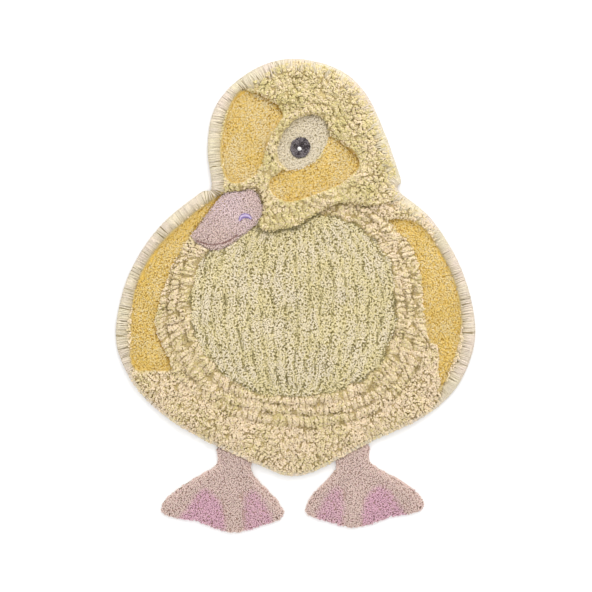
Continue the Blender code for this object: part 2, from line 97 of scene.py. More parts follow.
BELLY = {"centre": (-0.009, -0.023), "half": (0.237, 0.209), "turn": 0}
PUPIL = {"centre": (0.012, 0.343), "half": (0.0245, 0.0222), "turn": 62}
GLINT = {"centre": (0.01, 0.34), "half": (0.0052, 0.0045), "turn": 45}

# The grooves between the ruff's rows: an angle in degrees, and how far out each of the four lies
# there, in shares of the belly's ellipse. The first is the belly's edge.
GROOVES = [
    (-215, 1.0, 1.13, 1.2, 1.27), (-195, 0.99, 1.105, 1.185, 1.29),
    (-178, 0.985, 1.095, 1.2, 1.35), (-160, 0.98, 1.07, 1.25, 1.36),
    (-145, 0.98, 1.09, 1.265, 1.37), (-128, 1.0, 1.13, 1.265, 1.34),
    (-110, 1.0, 1.105, 1.21, 1.325), (-92, 1.005, 1.09, 1.19, 1.32),
    (-75, 1.01, 1.115, 1.24, 1.36), (-57, 1.045, 1.17, 1.315, 1.42),
    (-40, 1.075, 1.185, 1.31, 1.425), (-20, 1.05, 1.14, 1.25, 1.39),
    (-5, 1.02, 1.11, 1.195, 1.38), (15, 1.025, 1.11, 1.19, 1.36),
    (32, 1.08, 1.14, 1.2, 1.33), (60, 1.09, 1.16, 1.23, 1.3),
    (100, 1.05, 1.12, 1.19, 1.27),
]
RIBS = 17
RIB_TAPER = 0.35

# A foot about its ankle, with the outer side at -X: its outline, its middle toe, and the webs
# between its toes, where its pink goes towards lilac.
FOOT = metres([
    (-33, 16), (-40, -28), (-114, -74), (-160, -112), (-158, -144), (-85, -160), (-45, -175),
    (5, -185), (65, -170), (115, -150), (105, -113), (48, -50), (36, 6),
])
MIDDLE_TOE = metres([(1, -85), (4, -175)])
TOE_HALF_WIDTH = 0.022
OUTER_WEB = metres([
    (-70, -84), (-108, -128), (-122, -156), (-62, -168), (-23, -182), (-19, -140), (-34, -104),
])
INNER_WEB = metres([
    (32, -94), (52, -88), (80, -126), (90, -160), (60, -174), (29, -182), (25, -135),
])
FEET = [
    {"name": "left_foot", "ankle": (-0.144, -0.362), "side": 1, "size": 1.0},
    {"name": "right_foot", "ankle": (0.137, -0.357), "side": -1, "size": 0.97},
]

# How each kind of pile is laid, in metres and radians. A yarn is a tube with a radius and a number
# of rings. It bends over by its reach, in a direction that varies by the spread. Its root sinks
# below its top, which is uneven by the lift and no higher than the cap. Locks, given by their size
# across and along, gather their yarns, crown over their middle and differ in height by their bulk.
# Some yarns are pits, which drop below the rest and are painted dark as shade in the gaps.
Style = namedtuple(
    "Style",
    "pitch radius rings reach spread sink lift pits drop cap lock gather crown bulk",
    defaults=[1.0, None, 0, 0, 0],
)
SHAG = Style(
    pitch=0.0034, radius=0.0023, rings=3, reach=0.0044, spread=1.0, sink=0.01, lift=0.0007, pits=0.03,
    drop=0.003, lock=(0.0125, 0.015), gather=0.14, crown=0.0034, bulk=0.0015,
)
CUT = Style(
    pitch=0.003, radius=0.0023, rings=2, reach=0.0032, spread=0.9, sink=0.006, lift=0.0006, pits=0.05,
    drop=0.0026, cap=0.013,
)
STYLES = {
    "shag": SHAG,
    "row": SHAG._replace(
        radius=0.0022, reach=0.0046, spread=0.45, sink=0.011, lift=0.0008,
        lock=(0.0104, 0.025), gather=0.22, crown=0.0026, bulk=0.0016,
    ),
    "tufted": SHAG._replace(
        radius=0.0022, reach=0.0038, spread=1.3, pits=0.05, lock=(0.0105, 0.0125), crown=0.0032,
        bulk=0.0012,
    ),
    "dense": CUT._replace(
        pitch=0.0031, radius=0.0021, reach=0.002, spread=1.2, sink=0.007, lift=0.0005, pits=0.1,
        cap=1.0,
    ),
    "cut": CUT,
    "fine": CUT._replace(
        pitch=0.0029, radius=0.0022, reach=0.0034, sink=0.005, lift=0.0004, pits=0.06, drop=0.0022,
        cap=0.0128,
    ),
}

# The fields of pile on the body, each with its material slot, its style, the way that its yarns
# lean, in degrees, and how far they go towards the other colour.
Field = namedtuple("Field", "name slot style lean tint", defaults=[0.4])
FIELDS = [
    Field("forehead_pile", "yellow_pile", "cut", 245, 0.48),
    Field("cheek_pile", "yellow_pile", "cut", 215),
    Field("left_wing_pile", "yellow_pile", "cut", 250, 0.25),
    Field("right_wing_pile", "yellow_pile", "cut", 290, 0.25),
    Field("eye_pile", "eye_pile", "fine", 230),
    Field("belly_pile", "belly_pile", "dense", 270),
    Field("ruff_pile", "cream_pile", "row", 270, 0.64),
    Field("head_pile", "cream_pile", "shag", 275, 0.32),
    Field("body_pile", "cream_pile", "tufted", 270, 0.8),
]
LONG_FIELDS = ("belly_pile", "ruff_pile", "head_pile", "body_pile")
STAGGER = 0.32
FLOW_TURN = 1.2
BEND_AT = 0.3
TONE_SPREAD = 0.7
TINT_SPREAD = 0.28

# Where the pile is sunk and painted with shade, in metres: in the grooves, between the ribs, and
# below the edges of what stands higher, on which the light falls from the given direction.
SHADE_FROM = (0.35, 0.94)
GROOVE_HALF = 0.002
GROOVE_STRAY = 0.005
RIB_HALF = 0.0016
RIB_TINT_HALF = 0.003
FIELD_SHADE = 0.0055
CHIN_SHADE = 0.011
CHIN_END = 0.175
BEAK_GAP = 0.0045
BEAK_GAP_FROM = (-0.5, 0.87)
BEAK_PARTING = 0.006
CREASE = 0.0016
SUNK_DROP = 0.0008
SUNK_SHADE = 0.6

# How much of a gap shows: its share on the whole, and how far noise takes it up or down.
GROOVE_SHOWS = (0.5, 1.7)
RIB_GAP_SHOWS = (0.1, 2.6)
LOCK_GAP_SHOWS = (0.1, 1.3)
CREASE_SHOWS = (0.3, 1.5)

# How far the tips beside a pit are pushed away from it, and within which distance.
HOLE_PUSH = 0.002
HOLE_REACH = 0.0055

# The rim, in metres: its yarns are combed outward from the given Y upward, left and right, and
# brushed softly from the given X and Y. They are drawn together in bundles, which turn a little,
# and start outside the short fields, which are looked for at the probes' distances from the edge.
BORDER = 0.04
COMBED_FROM = (-0.17, -0.235)
COMBED_FADE = 0.04
SOFT_FROM = (-0.05, 0.13)
SOFT_FADE = (0.06, 0.05)
EDGE_CLEAR = 0.004
RIM_PITCH = 0.0021
RIM_RADIUS = 0.0015
RIM_RINGS = 6
RIM_TIP = 0.0014
RIM_LAYERS = [{"start": 0.04, "lift": 0.0003}, {"start": 0.034, "lift": -0.0012}]
RIM_SHORT = 0.01
RIM_PROBES = np.arange(0.045, 0.012, -0.002)
RIM_SWAY = 0.0004
RIM_LIFT = 0.0006
RIM_DROP = 0.0014
RIM_TURN = (0.06, 0.1)
BUNDLE_SHARE = 0.3
BUNDLE_PULL = 0.15
BUNDLE_TURN = 0.05
LOCK_HALF = 0.0051

# Places along a yarn, and what holds there: its share of the full radius, or how far it dips.
BLOOM = ([0, 0.5, 1], [0.7, 1.0, 1.15])
RIM_TAPER = ([0, 0.15, 0.85, 1], [0.6, 1.0, 1.0, 0.75])
RIM_DIP = ([0, 0.12, 0.3, 0.9, 1], [-0.004, -0.0005, 0.0, -0.0005, -0.0025])
STITCH_TAPER = ([0, 0.25, 0.75, 1], [0.6, 1, 1, 0.6])

# The feet, in metres and radians. Their yarns lie in rows that fan out from a place above the
# ankle. A web's colour fades in, and the pile is pale beside the edge.
FAN_ABOVE = 0.035
FAN_START = 0.02
FAN_ARC = (-2.7, -0.44)
FAN_STRAY = 0.25
FOOT_CLEAR = 0.0015
WEB_FADE = 0.016
FOOT_PALE = 0.016

# The beak's cover and the stitches, in metres.
BEAK_INSET = 0.003
BEAK_ROLL = 0.007
BEAK_ROLL_DROP = 0.0055
SEAM_HALF = 0.0014
LOOP_PITCH = 0.0026
LOOP_RADIUS = 0.0009
LOOP_RINGS = 4
LOOP_ARCH = 0.0011
LOOP_DROP = 0.0013
LOOP_PITS = 0.07
THREAD = 0.0006
STITCH_RINGS = 5
PUPIL_THREAD = 0.00095
PUPIL_LAYERS = [(0.0016, 0.007, 0.0012), (0.0017, 0.0058, 0.0004)]
NOSTRIL_HALF = 0.0042

# The bed of the pile and the ground cloth, in metres.
BED_DROP = 0.0042
SHORT_BED_DROP = 0.0028
# How far the bed under locks is painted towards the shade colour.
BED_SHADE = 0.25
BED_INSET = 0.005
CLOTH_THICK = 0.0016
CLOTH_INSET = 0.0025
CLOTH_STEP = 0.006
CLOTH_GRID = 0.02

# What the camera takes in, in metres: its middle, and the width there.
VIEW_CENTRE = 0.0023
VIEW_WIDTH = 1.374

# How finely tubes, curves, heights and noise are made, and how far the pile is off the floor.
SIDES = 3
TIP_SHARE = 0.5
FLOOR_CLEAR = 0.0003
GRID_STEP = 0.002
CURVE_STEPS = 16
NOISE_CELLS = 256
NOISE_START = 1000

# Colours, linear: a yarn's own, the one that it is mottled with, that of its root, which is painted
# shade among the roots, and the shade colour, which is painted shade where the pile is sunk.
Yarn = namedtuple("Yarn", "main other root deep")
YARNS = {
    "cream_pile": Yarn((0.725, 0.626, 0.3), (0.91, 0.75, 0.55), (0.72, 0.585, 0.3), (0.3, 0.205, 0.045)),
    "rim_pile": Yarn((0.785, 0.71, 0.52), (0.795, 0.68, 0.575), (0.62, 0.52, 0.34), (0.28, 0.21, 0.09)),
    "belly_pile": Yarn((0.81, 0.71, 0.405), (0.86, 0.765, 0.575), (0.67, 0.585, 0.28), (0.17, 0.13, 0.028)),
    "yellow_pile": Yarn((0.79, 0.565, 0.157), (0.81, 0.68, 0.41), (0.825, 0.585, 0.152), (0.42, 0.22, 0.02)),
    "eye_pile": Yarn((0.775, 0.685, 0.503), (0.775, 0.685, 0.545), (0.81, 0.725, 0.512), (0.36, 0.28, 0.12)),
    "foot_pile": Yarn((0.695, 0.543, 0.478), (0.676, 0.413, 0.5), (0.724, 0.548, 0.487), (0.45, 0.28, 0.22)),
    "beak_plush": Yarn((0.93, 0.76, 0.77), (0.88, 0.7, 0.61), (0.7, 0.51, 0.46), (0.26, 0.13, 0.11)),
    "seam_thread": Yarn((0.42, 0.22, 0.18), (0.36, 0.2, 0.18), (0.25, 0.12, 0.1), (0.2, 0.1, 0.08)),
    "pupil_thread": Yarn((0.28, 0.25, 0.26), (0.04, 0.03, 0.035), (0.05, 0.04, 0.04), (0.03, 0.02, 0.02)),
    "glint_thread": Yarn((0.9, 0.89, 0.88), (0.86, 0.85, 0.86), (0.6, 0.6, 0.6), (0.5, 0.5, 0.5)),
    "nostril_thread": Yarn((0.72, 0.6, 0.8), (0.24, 0.17, 0.52), (0.3, 0.22, 0.5), (0.2, 0.14, 0.36)),
}
CANVAS = ((0.66, 0.58, 0.42), (0.4, 0.34, 0.22))
BEAK_PINK = (0.5, 0.33, 0.3)
CHARCOAL = (0.07, 0.06, 0.06)
# Ranges of a yarn's tone and of the noise over it, and the shares of its colour that they become.
TONES = (-1.5, 1.5, 0.925, 1.045)
MOTTLE = (0.35, 0.65, 0.89, 1.05)
FIBRES = (0.3, 0.7, 0.93, 1.05)


# ---- Curves and fields in the plane ----


def smooth(points, closed=True):
    """A dense Catmull-Rom curve through the points, as an array of (x, y)."""
    points = np.array(points, float)
    if closed:
        padded = np.vstack([points[-1:], points, points[:2]])
    else:
        padded = np.vstack([2 * points[:1] - points[1:2], points, 2 * points[-1:] - points[-2:-1]])
    t = np.linspace(0, 1, CURVE_STEPS, endpoint=False)[:, None]
    spans = []
    for a, b, c, d in zip(padded, padded[1:], padded[2:], padded[3:]):
        bend = 2 * a - 5 * b + 4 * c - d
        twist = -a + 3 * b - 3 * c + d
        spans.append(0.5 * (2 * b + (c - a) * t + bend * t**2 + twist * t**3))
    curve = np.vstack(spans)
    return curve if closed else np.vstack([curve, points[-1:]])


def along(line, step, closed=True):
    """The line resampled to evenly spaced points, about a step apart."""
    ring = np.vstack([line, line[:1]]) if closed else line
    run = np.concatenate([[0], np.cumsum(np.linalg.norm(np.diff(ring, axis=0), axis=1))])
    at = np.linspace(0, run[-1], round(run[-1] / step), endpoint=not closed)
    return np.stack([np.interp(at, run, ring[:, k]) for k in (0, 1)], axis=1)


def seeded(number):
    return np.random.default_rng(number)


def unit(vectors):
    return vectors / np.maximum(np.linalg.norm(vectors, axis=-1, keepdims=True), 1e-9)


def left_of(vectors):
    """Plane vectors turned a quarter turn to the left."""
    return np.stack([-vectors[..., 1], vectors[..., 0]], axis=-1)


def heading(angle):
    return np.stack([np.cos(angle), np.sin(angle)], axis=-1)


def outward(loop):
    """The unit normals of a closed loop, pointing out of it."""
    normal = -left_of(unit(np.roll(loop, -1, axis=0) - np.roll(loop, 1, axis=0)))
    x, y = loop.T
    area = np.sum(x * np.roll(y, -1) - np.roll(x, -1) * y)
    return normal if area > 0 else -normal


def inside(points, loop):
    """Whether each point lies inside the closed loop."""
    boxed = np.all((points >= loop.min(axis=0)) & (points <= loop.max(axis=0)), axis=1)
    found = np.zeros(len(points), bool)
    x, y = points[boxed, :1], points[boxed, 1:]
    x0, y0 = loop.T
    x1, y1 = np.roll(loop, -1, axis=0).T
    spans = (y0 > y) != (y1 > y)
    rise = np.where(y1 == y0, 1e-12, y1 - y0)
    crossing = x0 + (y - y0) / rise * (x1 - x0)
    found[boxed] = (spans & (x < crossing)).sum(axis=1) % 2 == 1
    return found


def parts(count, size=4000):
    """Slices that take up the count in parts of a bounded size."""
    return [slice(first, first + size) for first in range(0, count, size)]


def nearest(points, line, closed=True):
    """Each point's distance to the line, and the offset to the line's nearest place."""
    start = line if closed else line[:-1]
    step = (np.roll(line, -1, axis=0) if closed else line[1:]) - start
    size = np.maximum((step**2).sum(axis=1), 1e-12)
    far = np.empty(len(points))
    way = np.empty((len(points), 2))
    for part in parts(len(points)):
        offset = points[part, None] - start
        share = np.clip((offset * step).sum(axis=2) / size, 0, 1)
        gap = share[..., None] * step - offset
        length = np.linalg.norm(gap, axis=2)
        best = length.argmin(axis=1)
        rows = np.arange(len(best))
        far[part], way[part] = length[rows, best], gap[rows, best]
    return far, way


def ellipse_place(points, ellipse):
    """The points in the ellipse's own axes, where its edge is the unit circle."""
    turn = math.radians(ellipse["turn"])
    local = points - np.array(ellipse["centre"])
    along_x = local[:, 0] * math.cos(turn) + local[:, 1] * math.sin(turn)
    along_y = local[:, 1] * math.cos(turn) - local[:, 0] * math.sin(turn)
    return np.stack([along_x / ellipse["half"][0], along_y / ellipse["half"][1]], axis=1)


def ellipse_points(ellipse, places):
    """Points given in the ellipse's own axes, back in the plane."""
    turn = math.radians(ellipse["turn"])
    x, y = (np.asarray(places) * ellipse["half"]).T
    turned = [x * math.cos(turn) - y * math.sin(turn), x * math.sin(turn) + y * math.cos(turn)]
    return np.stack(turned, axis=1) + ellipse["centre"]


def ring_line(radii):
    """The closed line round the belly that is as far out as given at each of the grooves' angles."""
    angle = np.radians([row[0] for row in GROOVES])
    return smooth(ellipse_points(BELLY, heading(angle) * radii[:, None]))


def on_foot(points, foot):
    """Points of the foot's own table, placed at its ankle and mirrored for its side."""
    return np.array(points) * (foot["size"] * foot["side"], foot["size"]) + foot["ankle"]


BODY_LOOP = smooth(BODY)
FEET_LOOPS = [smooth(on_foot(FOOT, foot)) for foot in FEET]
BEAK_LOOP = smooth(BEAK)
BEAK_INNER = BEAK_LOOP - outward(BEAK_LOOP) * BEAK_INSET
EYE_LOOP = ellipse_points(EYE, heading(np.linspace(0, 2 * math.pi, 96, endpoint=False)))
HEAD_LINE = smooth(HEAD_EDGE, closed=False)
HEAD_LOOP = np.vstack([HEAD_LINE, BESIDE_HEAD])
MOUTH_LINE = smooth(MOUTH, closed=False)
GROOVE_RADII = np.array(GROOVES)[:, 1:].T
GROOVE_LOOPS = [ring_line(radii) for radii in GROOVE_RADII]
CREST_LOOPS = [ring_line(radii) for radii in (GROOVE_RADII[1:] + GROOVE_RADII[:-1]) / 2]
CUT_LOOPS = {
    "forehead_pile": smooth(FOREHEAD),
    "cheek_pile": smooth(CHEEK),
    "left_wing_pile": smooth(LEFT_WING),
    "right_wing_pile": smooth(RIGHT_WING),
    "eye_pile": EYE_LOOP,
}


def strayed(points):
    """The points moved about a little, so that an edge found from them comes out ragged."""
    return points + GROOVE_STRAY * np.stack([rib_gaps(points), speck_gaps(points)], axis=1)


def field_of(points):
    """The name of the field that each point lies in, or an empty name off the rug's body."""
    name = np.full(len(points), "body_pile", dtype=object)
    ragged = strayed(points)
    name[inside(ragged, GROOVE_LOOPS[-1])] = "ruff_pile"
    name[inside(ragged, GROOVE_LOOPS[0])] = "belly_pile"
    name[inside(points, HEAD_LOOP)] = "head_pile"
    for field, loop in CUT_LOOPS.items():
        name[inside(points, loop)] = field
    name[inside(points, BEAK_INNER)] = "beak"
    name[~inside(points, BODY_LOOP)] = ""
    return name


def blended(values, cell, share):
    """A grid's values at its cells, blended linearly with those at the next cells."""
    (i, j), (x, y) = cell.T, share.T
    low, high = (values[i, k] * (1 - x) + values[i + 1, k] * x for k in (j, j + 1))
    return low * (1 - y) + high * y


class Noise:
    """Smooth noise over the plane, from about -1 to 1, with lumps of the given size."""

    def __init__(self, size, seed):
        self.size = size
        values = seeded(seed).uniform(-1, 1, (NOISE_CELLS, NOISE_CELLS))
        self.values = np.pad(values, (0, 1), mode="wrap")

    def __call__(self, points):
        place = points / self.size + NOISE_START
        cell = np.floor(place).astype(int)
        share = place - cell
        return blended(self.values, cell % NOISE_CELLS, share * share * (3 - 2 * share))


class Heights:
    """The height of a node's top over the plane, read from its mesh on an even grid."""

    def __init__(self, name):
        tree = BVHTree.FromObject(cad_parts[name], bpy.context.evaluated_depsgraph_get())
        low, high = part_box(name)
        self.low = np.array(low[:2]) - 2 * GRID_STEP
        counts = ((np.array(high[:2]) - self.low) / GRID_STEP).astype(int) + 3
        self.values = np.zeros(counts)
        xs, ys = ((self.low[k] + np.arange(counts[k]) * GRID_STEP).tolist() for k in (0, 1))
        down = Vector((0, 0, -1))
        for i, j in np.ndindex(*counts):
            hit = tree.ray_cast(Vector((xs[i], ys[j], 1.0)), down)[0]
            if hit:
                self.values[i, j] = hit.z

    def __call__(self, points):
        place = (points - self.low) / GRID_STEP
        cell = np.clip(np.floor(place).astype(int), 0, np.array(self.values.shape) - 2)
        return blended(self.values, cell, np.clip(place - cell, 0, 1))


rug_height = Heights("rug")
beak_height = Heights("beak")
flow_turn = Noise(0.045, 11)
patch_tone = Noise(0.04, 12)
patch_tint = Noise(0.035, 13)
groove_gaps = Noise(0.022, 14)
rib_gaps = Noise(0.013, 15)
speck_gaps = Noise(0.016, 16)
edge_gaps = Noise(0.009, 17)


# ---- Meshes ----


def linked(obj):
    bpy.context.scene.collection.objects.link(obj)
    return obj


def mesh_object(name, vertices, faces, shades):
    """An object from arrays: vertices, lists of faces with equally many corners, and named shades."""
    mesh = bpy.data.meshes.new(name)
    vertices = np.asarray(vertices, np.float32)
    vertices[:, 2] = np.maximum(vertices[:, 2], FLOOR_CLEAR)
    sizes = np.concatenate([np.full(len(f), f.shape[1]) for f in faces])
    corners = np.concatenate([f.ravel() for f in faces]).astype(np.int32)
    mesh.vertices.add(len(vertices))
    mesh.vertices.foreach_set("co", vertices.ravel())
    mesh.loops.add(len(corners))
    mesh.loops.foreach_set("vertex_index", corners)
    mesh.polygons.add(len(sizes))
    starts = np.concatenate([[0], np.cumsum(sizes)[:-1]]).astype(np.int32)
    mesh.polygons.foreach_set("loop_start", starts)
    mesh.update(calc_edges=True)
    mesh.shade_smooth()
    for shade, values in shades.items():
        made = mesh.attributes.new(shade, "FLOAT", "POINT")
        made.data.foreach_set("value", np.asarray(values, np.float32))
    return linked(bpy.data.objects.new(name, mesh))


def tubes(paths, radii, across):
    """The vertices and faces of a closed tube along each path."""
    count, rings, _ = paths.shape
    tangent = unit(np.gradient(paths, axis=1))
    side = np.repeat(across[:, None], rings, axis=1)
    over = np.cross(side, tangent)
    angle = math.pi / 2 + np.arange(SIDES) * 2 * math.pi / SIDES
    ring = side[:, :, None] * np.cos(angle)[:, None] + over[:, :, None] * np.sin(angle)[:, None]
    tube = paths[:, :, None] + ring * radii[:, :, None, None]
    tip = paths[:, -1] + tangent[:, -1] * radii[:, -1:] * TIP_SHARE
    vertices = np.concatenate([tube.reshape(count, -1, 3), tip[:, None]], axis=1)

    each = rings * SIDES + 1
    first = np.arange(count)[:, None, None] * each
    ring_start, s = np.meshgrid(np.arange(rings - 1) * SIDES, np.arange(SIDES), indexing="ij")
    here, turned = (ring_start + s).ravel(), (ring_start + (s + 1) % SIDES).ravel()
    walls = np.stack([here, turned, turned + SIDES, here + SIDES], axis=1)
    s = np.arange(SIDES)
    last = (rings - 1) * SIDES
    cap = np.stack([last + s, last + (s + 1) % SIDES, np.full(SIDES, each - 1)], axis=1)
    faces = [(f[None] + first).reshape(-1, f.shape[1]) for f in (walls, cap, s[None, ::-1])]
    return vertices.reshape(-1, 3), faces


# Yarns of one kind: their paths (yarns, rings, 3), their radii (yarns, rings), the way across each
# in the plane (yarns, 2), and for each yarn its tone, its tint and its painted shade where it is sunk.
Strand = namedtuple("Strand", "paths radii across tone tint sunk")


def raised(flat, z):
    """Paths in the plane, at the given heights."""
    return np.concatenate([flat, z[..., None]], axis=2)


def yarn_mesh(name, strands):
    """One mesh of many yarns, each a tube that follows its own path."""
    vertices, faces, shades = [], [], {"rise": [], "tone": [], "tint": [], "sunk": []}
    first = 0
    for strand in strands:
        count, rings, _ = strand.paths.shape
        across = np.column_stack([strand.across, np.zeros(count)])
        tube, tube_faces = tubes(strand.paths, strand.radii, across)
        vertices.append(tube)
        faces += [f + first for f in tube_faces]
        first += len(tube)
        rise = np.append(np.repeat(np.linspace(0, 1, rings), SIDES), 1.0)
        shades["rise"].append(np.tile(rise, count))
        for shade in ("tone", "tint", "sunk"):
            shades[shade].append(np.repeat(getattr(strand, shade), len(rise)))
    shades = {shade: np.concatenate(values) for shade, values in shades.items()}
    shades["tint"] = np.clip(shades["tint"], 0, 1)
    return mesh_object(name, np.vstack(vertices), faces, shades)


# ---- The pile of the body ----


def staggered(low, high, pitch, rng):
    """Points over a box, in staggered rows a little out of line."""
    rise = pitch * math.sqrt(3) / 2
    rows = []
    for j, y in enumerate(np.arange(low[1], high[1], rise)):
        x = np.arange(low[0] + (j % 2) * pitch / 2, high[0], pitch)
        rows.append(np.stack([x, np.full(len(x), y)], axis=1))
    points = np.vstack(rows)
    return points + rng.uniform(-STAGGER, STAGGER, points.shape) * pitch


def near(distance, half):
    """1 within the half width of a line, falling to 0 at twice that."""
    return np.clip(2 - distance / half, 0, 1)


def patchy(noise, points, shows):
    """How much of a gap shows at each point, by noise."""
    base, swing = shows
    return np.clip(base + swing * noise(points), 0, 1)


def uneven(size, share, points):
    """A size that differs along an edge by up to the given share."""
    return size * (1 + share * edge_gaps(points))


def fading_in(place, start, fade):
    """0 before the start and 1 after it, over the length of the fade."""
    return np.clip((place - start) / fade + 0.5, 0, 1)


def in_groove(points):
    """How much each point lies in a groove of the ruff, which is now bolder and now closed."""
    away = np.min([nearest(strayed(points), loop)[0] for loop in GROOVE_LOOPS], axis=0)
    return near(away, uneven(GROOVE_HALF, 0.5, points)) * patchy(groove_gaps, points, GROOVE_SHOWS)


def from_rib_line(points):
    """The distance from each point to the line between two of the belly's ribs."""
    place = ellipse_place(points, BELLY)
    width = RIB_TAPER + (1 - RIB_TAPER) * np.sqrt(np.clip(1 - place[:, 1] ** 2, 0, 1))
    rib = (place[:, 0] / width + 1) * RIBS / 2 + 0.22 * flow_turn(points * 1.5)
    return np.abs(rib - np.round(rib)) * width * BELLY["half"][0] * 2 / RIBS


def in_rib_gap(points):
    """How much each point lies in one of the short gaps along the belly's ribs."""
    shown = patchy(rib_gaps, points * (1.3, 1.0), RIB_GAP_SHOWS)
    return near(from_rib_line(points), RIB_HALF) * shown


def below_edge(points, line, width, closed=True):
    """How much each point lies in the shade below a higher edge."""
    away, gap = nearest(points, line, closed)
    facing = gap @ np.array(SHADE_FROM) / np.maximum(away, 1e-6)
    return near(away, uneven(width, 0.6, points) / 2) * np.clip(0.15 + 1.3 * facing, 0, 1)


def beside_beak(points):
    """How much each point lies in the painted shade of the gap along the beak's top and left edge."""
    away, gap = nearest(points, BEAK_LOOP)
    facing = -gap @ np.array(BEAK_GAP_FROM) / np.maximum(away, 1e-6)
    return near(away, BEAK_GAP / 2) * np.clip(2 * facing, 0, 1) * ~inside(points, BEAK_LOOP)


def sunk_share(name, points):
    """How far a field's yarns sink, with painted shade, by its grooves and by the edges above it."""
    sunk = beside_beak(points)
    if name == "belly_pile":
        sunk = np.maximum(sunk, in_rib_gap(points))
    if name in ("belly_pile", "ruff_pile", "body_pile"):
        # Painted shadow in a band below the head's edge, left of where it ends.
        chin_shadow = below_edge(points, HEAD_LINE, CHIN_SHADE, closed=False) * (points[:, 0] < CHIN_END)
        sunk = np.max([sunk, in_groove(points), chin_shadow], axis=0)
    if name in CUT_LOOPS:
        shade = below_edge(points, CUT_LOOPS[name], FIELD_SHADE)
        inward = np.clip(nearest(points, BODY_LOOP)[0] / BORDER - 1.1, 0, 1)
        sunk = np.maximum(sunk, shade * np.minimum(4 * inward, 1))
    return sunk


def combed(points):
    """How far the rim beside each point is combed outward: all of it but for the lower body."""
    left, right = COMBED_FROM
    return fading_in(points[:, 1], np.where(points[:, 0] < 0, left, right), COMBED_FADE)


def softness(points):
    """How softly the rim is brushed, with hardly a yarn to be told from the next."""
    right, high = (fading_in(points[:, k], SOFT_FROM[k], SOFT_FADE[k]) for k in (0, 1))
    return right * high


def field_points(name, style, rng):
    """Where the yarns of a field are rooted, clear of the places that the rim's yarns cover."""
    loop = CUT_LOOPS.get(name, BODY_LOOP)
    points = staggered(loop.min(axis=0), loop.max(axis=0), style.pitch, rng)
    points = points[inside(points, loop)]
    points = points[field_of(points) == name]
    edge = nearest(points, BODY_LOOP)[0]
    covered = BORDER * (0.8 - 0.5 * softness(points)) * combed(points)
    return points[edge > np.maximum(uneven(covered, 0.1, points), EDGE_CLEAR)]


def leaning(points, field, spread, rng):
    """The way that each yarn leans. It drifts over the field, and long pile turns out at the rim."""
    turn = flow_turn(points) * FLOW_TURN + rng.uniform(-spread, spread, len(points))
    way = heading(math.radians(field.lean) + turn)
    if field.name not in LONG_FIELDS:
        return way
    edge, gap = nearest(points, BODY_LOOP)
    pull = np.clip(1.4 - edge / BORDER, 0, 1)[:, None] ** 1.5
    way = unit(way * (1 - pull) + unit(gap) * pull * 1.3)
    beak, gap = nearest(points, BEAK_LOOP)
    pull = 0.8 * near(beak, BEAK_PARTING)[:, None]
    return unit(way * (1 - pull) + unit(gap) * pull)


def lock_centres(points, field, style, rng):
    """The middles of a field's locks, and the way that each lock runs.

    The ruff's locks lie side by side across its rows. Other locks are strewn.
    """
    wide, long = style.lock
    if field.name != "ruff_pile":
        centres = staggered(points.min(axis=0), points.max(axis=0), math.sqrt(wide * long), rng)
        return centres, leaning(centres, field, style.spread, rng)
    rows = [along(loop, wide) for loop in CREST_LOOPS]
    run = np.vstack([outward(row) for row in rows])
    run = unit(run + (0, -0.25) + rng.normal(0, 0.4, run.shape))
    return np.vstack(rows) + rng.uniform(-0.5, 0.5, run.shape) * wide, run


def in_locks(points, field, style, rng):
    """Each yarn's lock, its way to the lock's middle line, how far out it is, and the lock's way."""
    wide, long = style.lock
    centres, run = lock_centres(points, field, style, rng)
    side = left_of(run)
    best = np.empty(len(points), int)
    for part in parts(len(points)):
        gap = points[part, None] - centres
        across = (gap * side).sum(axis=2) / wide
        ahead = (gap * run).sum(axis=2) / long
        best[part] = (across**2 + ahead**2).argmin(axis=1)
    gap = points - centres[best]
    across, ahead = (gap * side[best]).sum(axis=1), (gap * run[best]).sum(axis=1)
    outer = np.hypot(across / (wide / 2), 0.8 * ahead / (long / 2))
    return best, -side[best] * across[:, None], np.clip(outer, 0, 1), run[best]


def bent_paths(roots, tips, root_z, tip_z, crown_z, side_bend, rings):
    """Paths from roots to tips in the plane, which rise to a crown and bend aside on their way."""
    bend = roots + BEND_AT * (tips - roots) + side_bend
    root = np.column_stack([roots, root_z])[:, None]
    middle = np.column_stack([bend, crown_z])[:, None]
    tip = np.column_stack([tips, tip_z])[:, None]
    t = np.linspace(0, 1, rings)[None, :, None]
    return (1 - t) ** 2 * root + 2 * t * (1 - t) * middle + t**2 * tip


def pushed_from(points, holes):
    """How far each yarn's tip is pushed away from the nearest of the holes beside it."""
    tree = KDTree(len(holes))
    for k, (x, y) in enumerate(holes.tolist()):
        tree.insert((x, y, 0.0), k)
    tree.balance()
    beside = [tree.find((x, y, 0.0))[1] for x, y in points.tolist()]
    gap = points - holes[beside]
    near_hole = np.clip(1 - np.linalg.norm(gap, axis=1) / HOLE_REACH, 0, 1)
    return unit(gap) * (HOLE_PUSH * near_hole)[:, None]


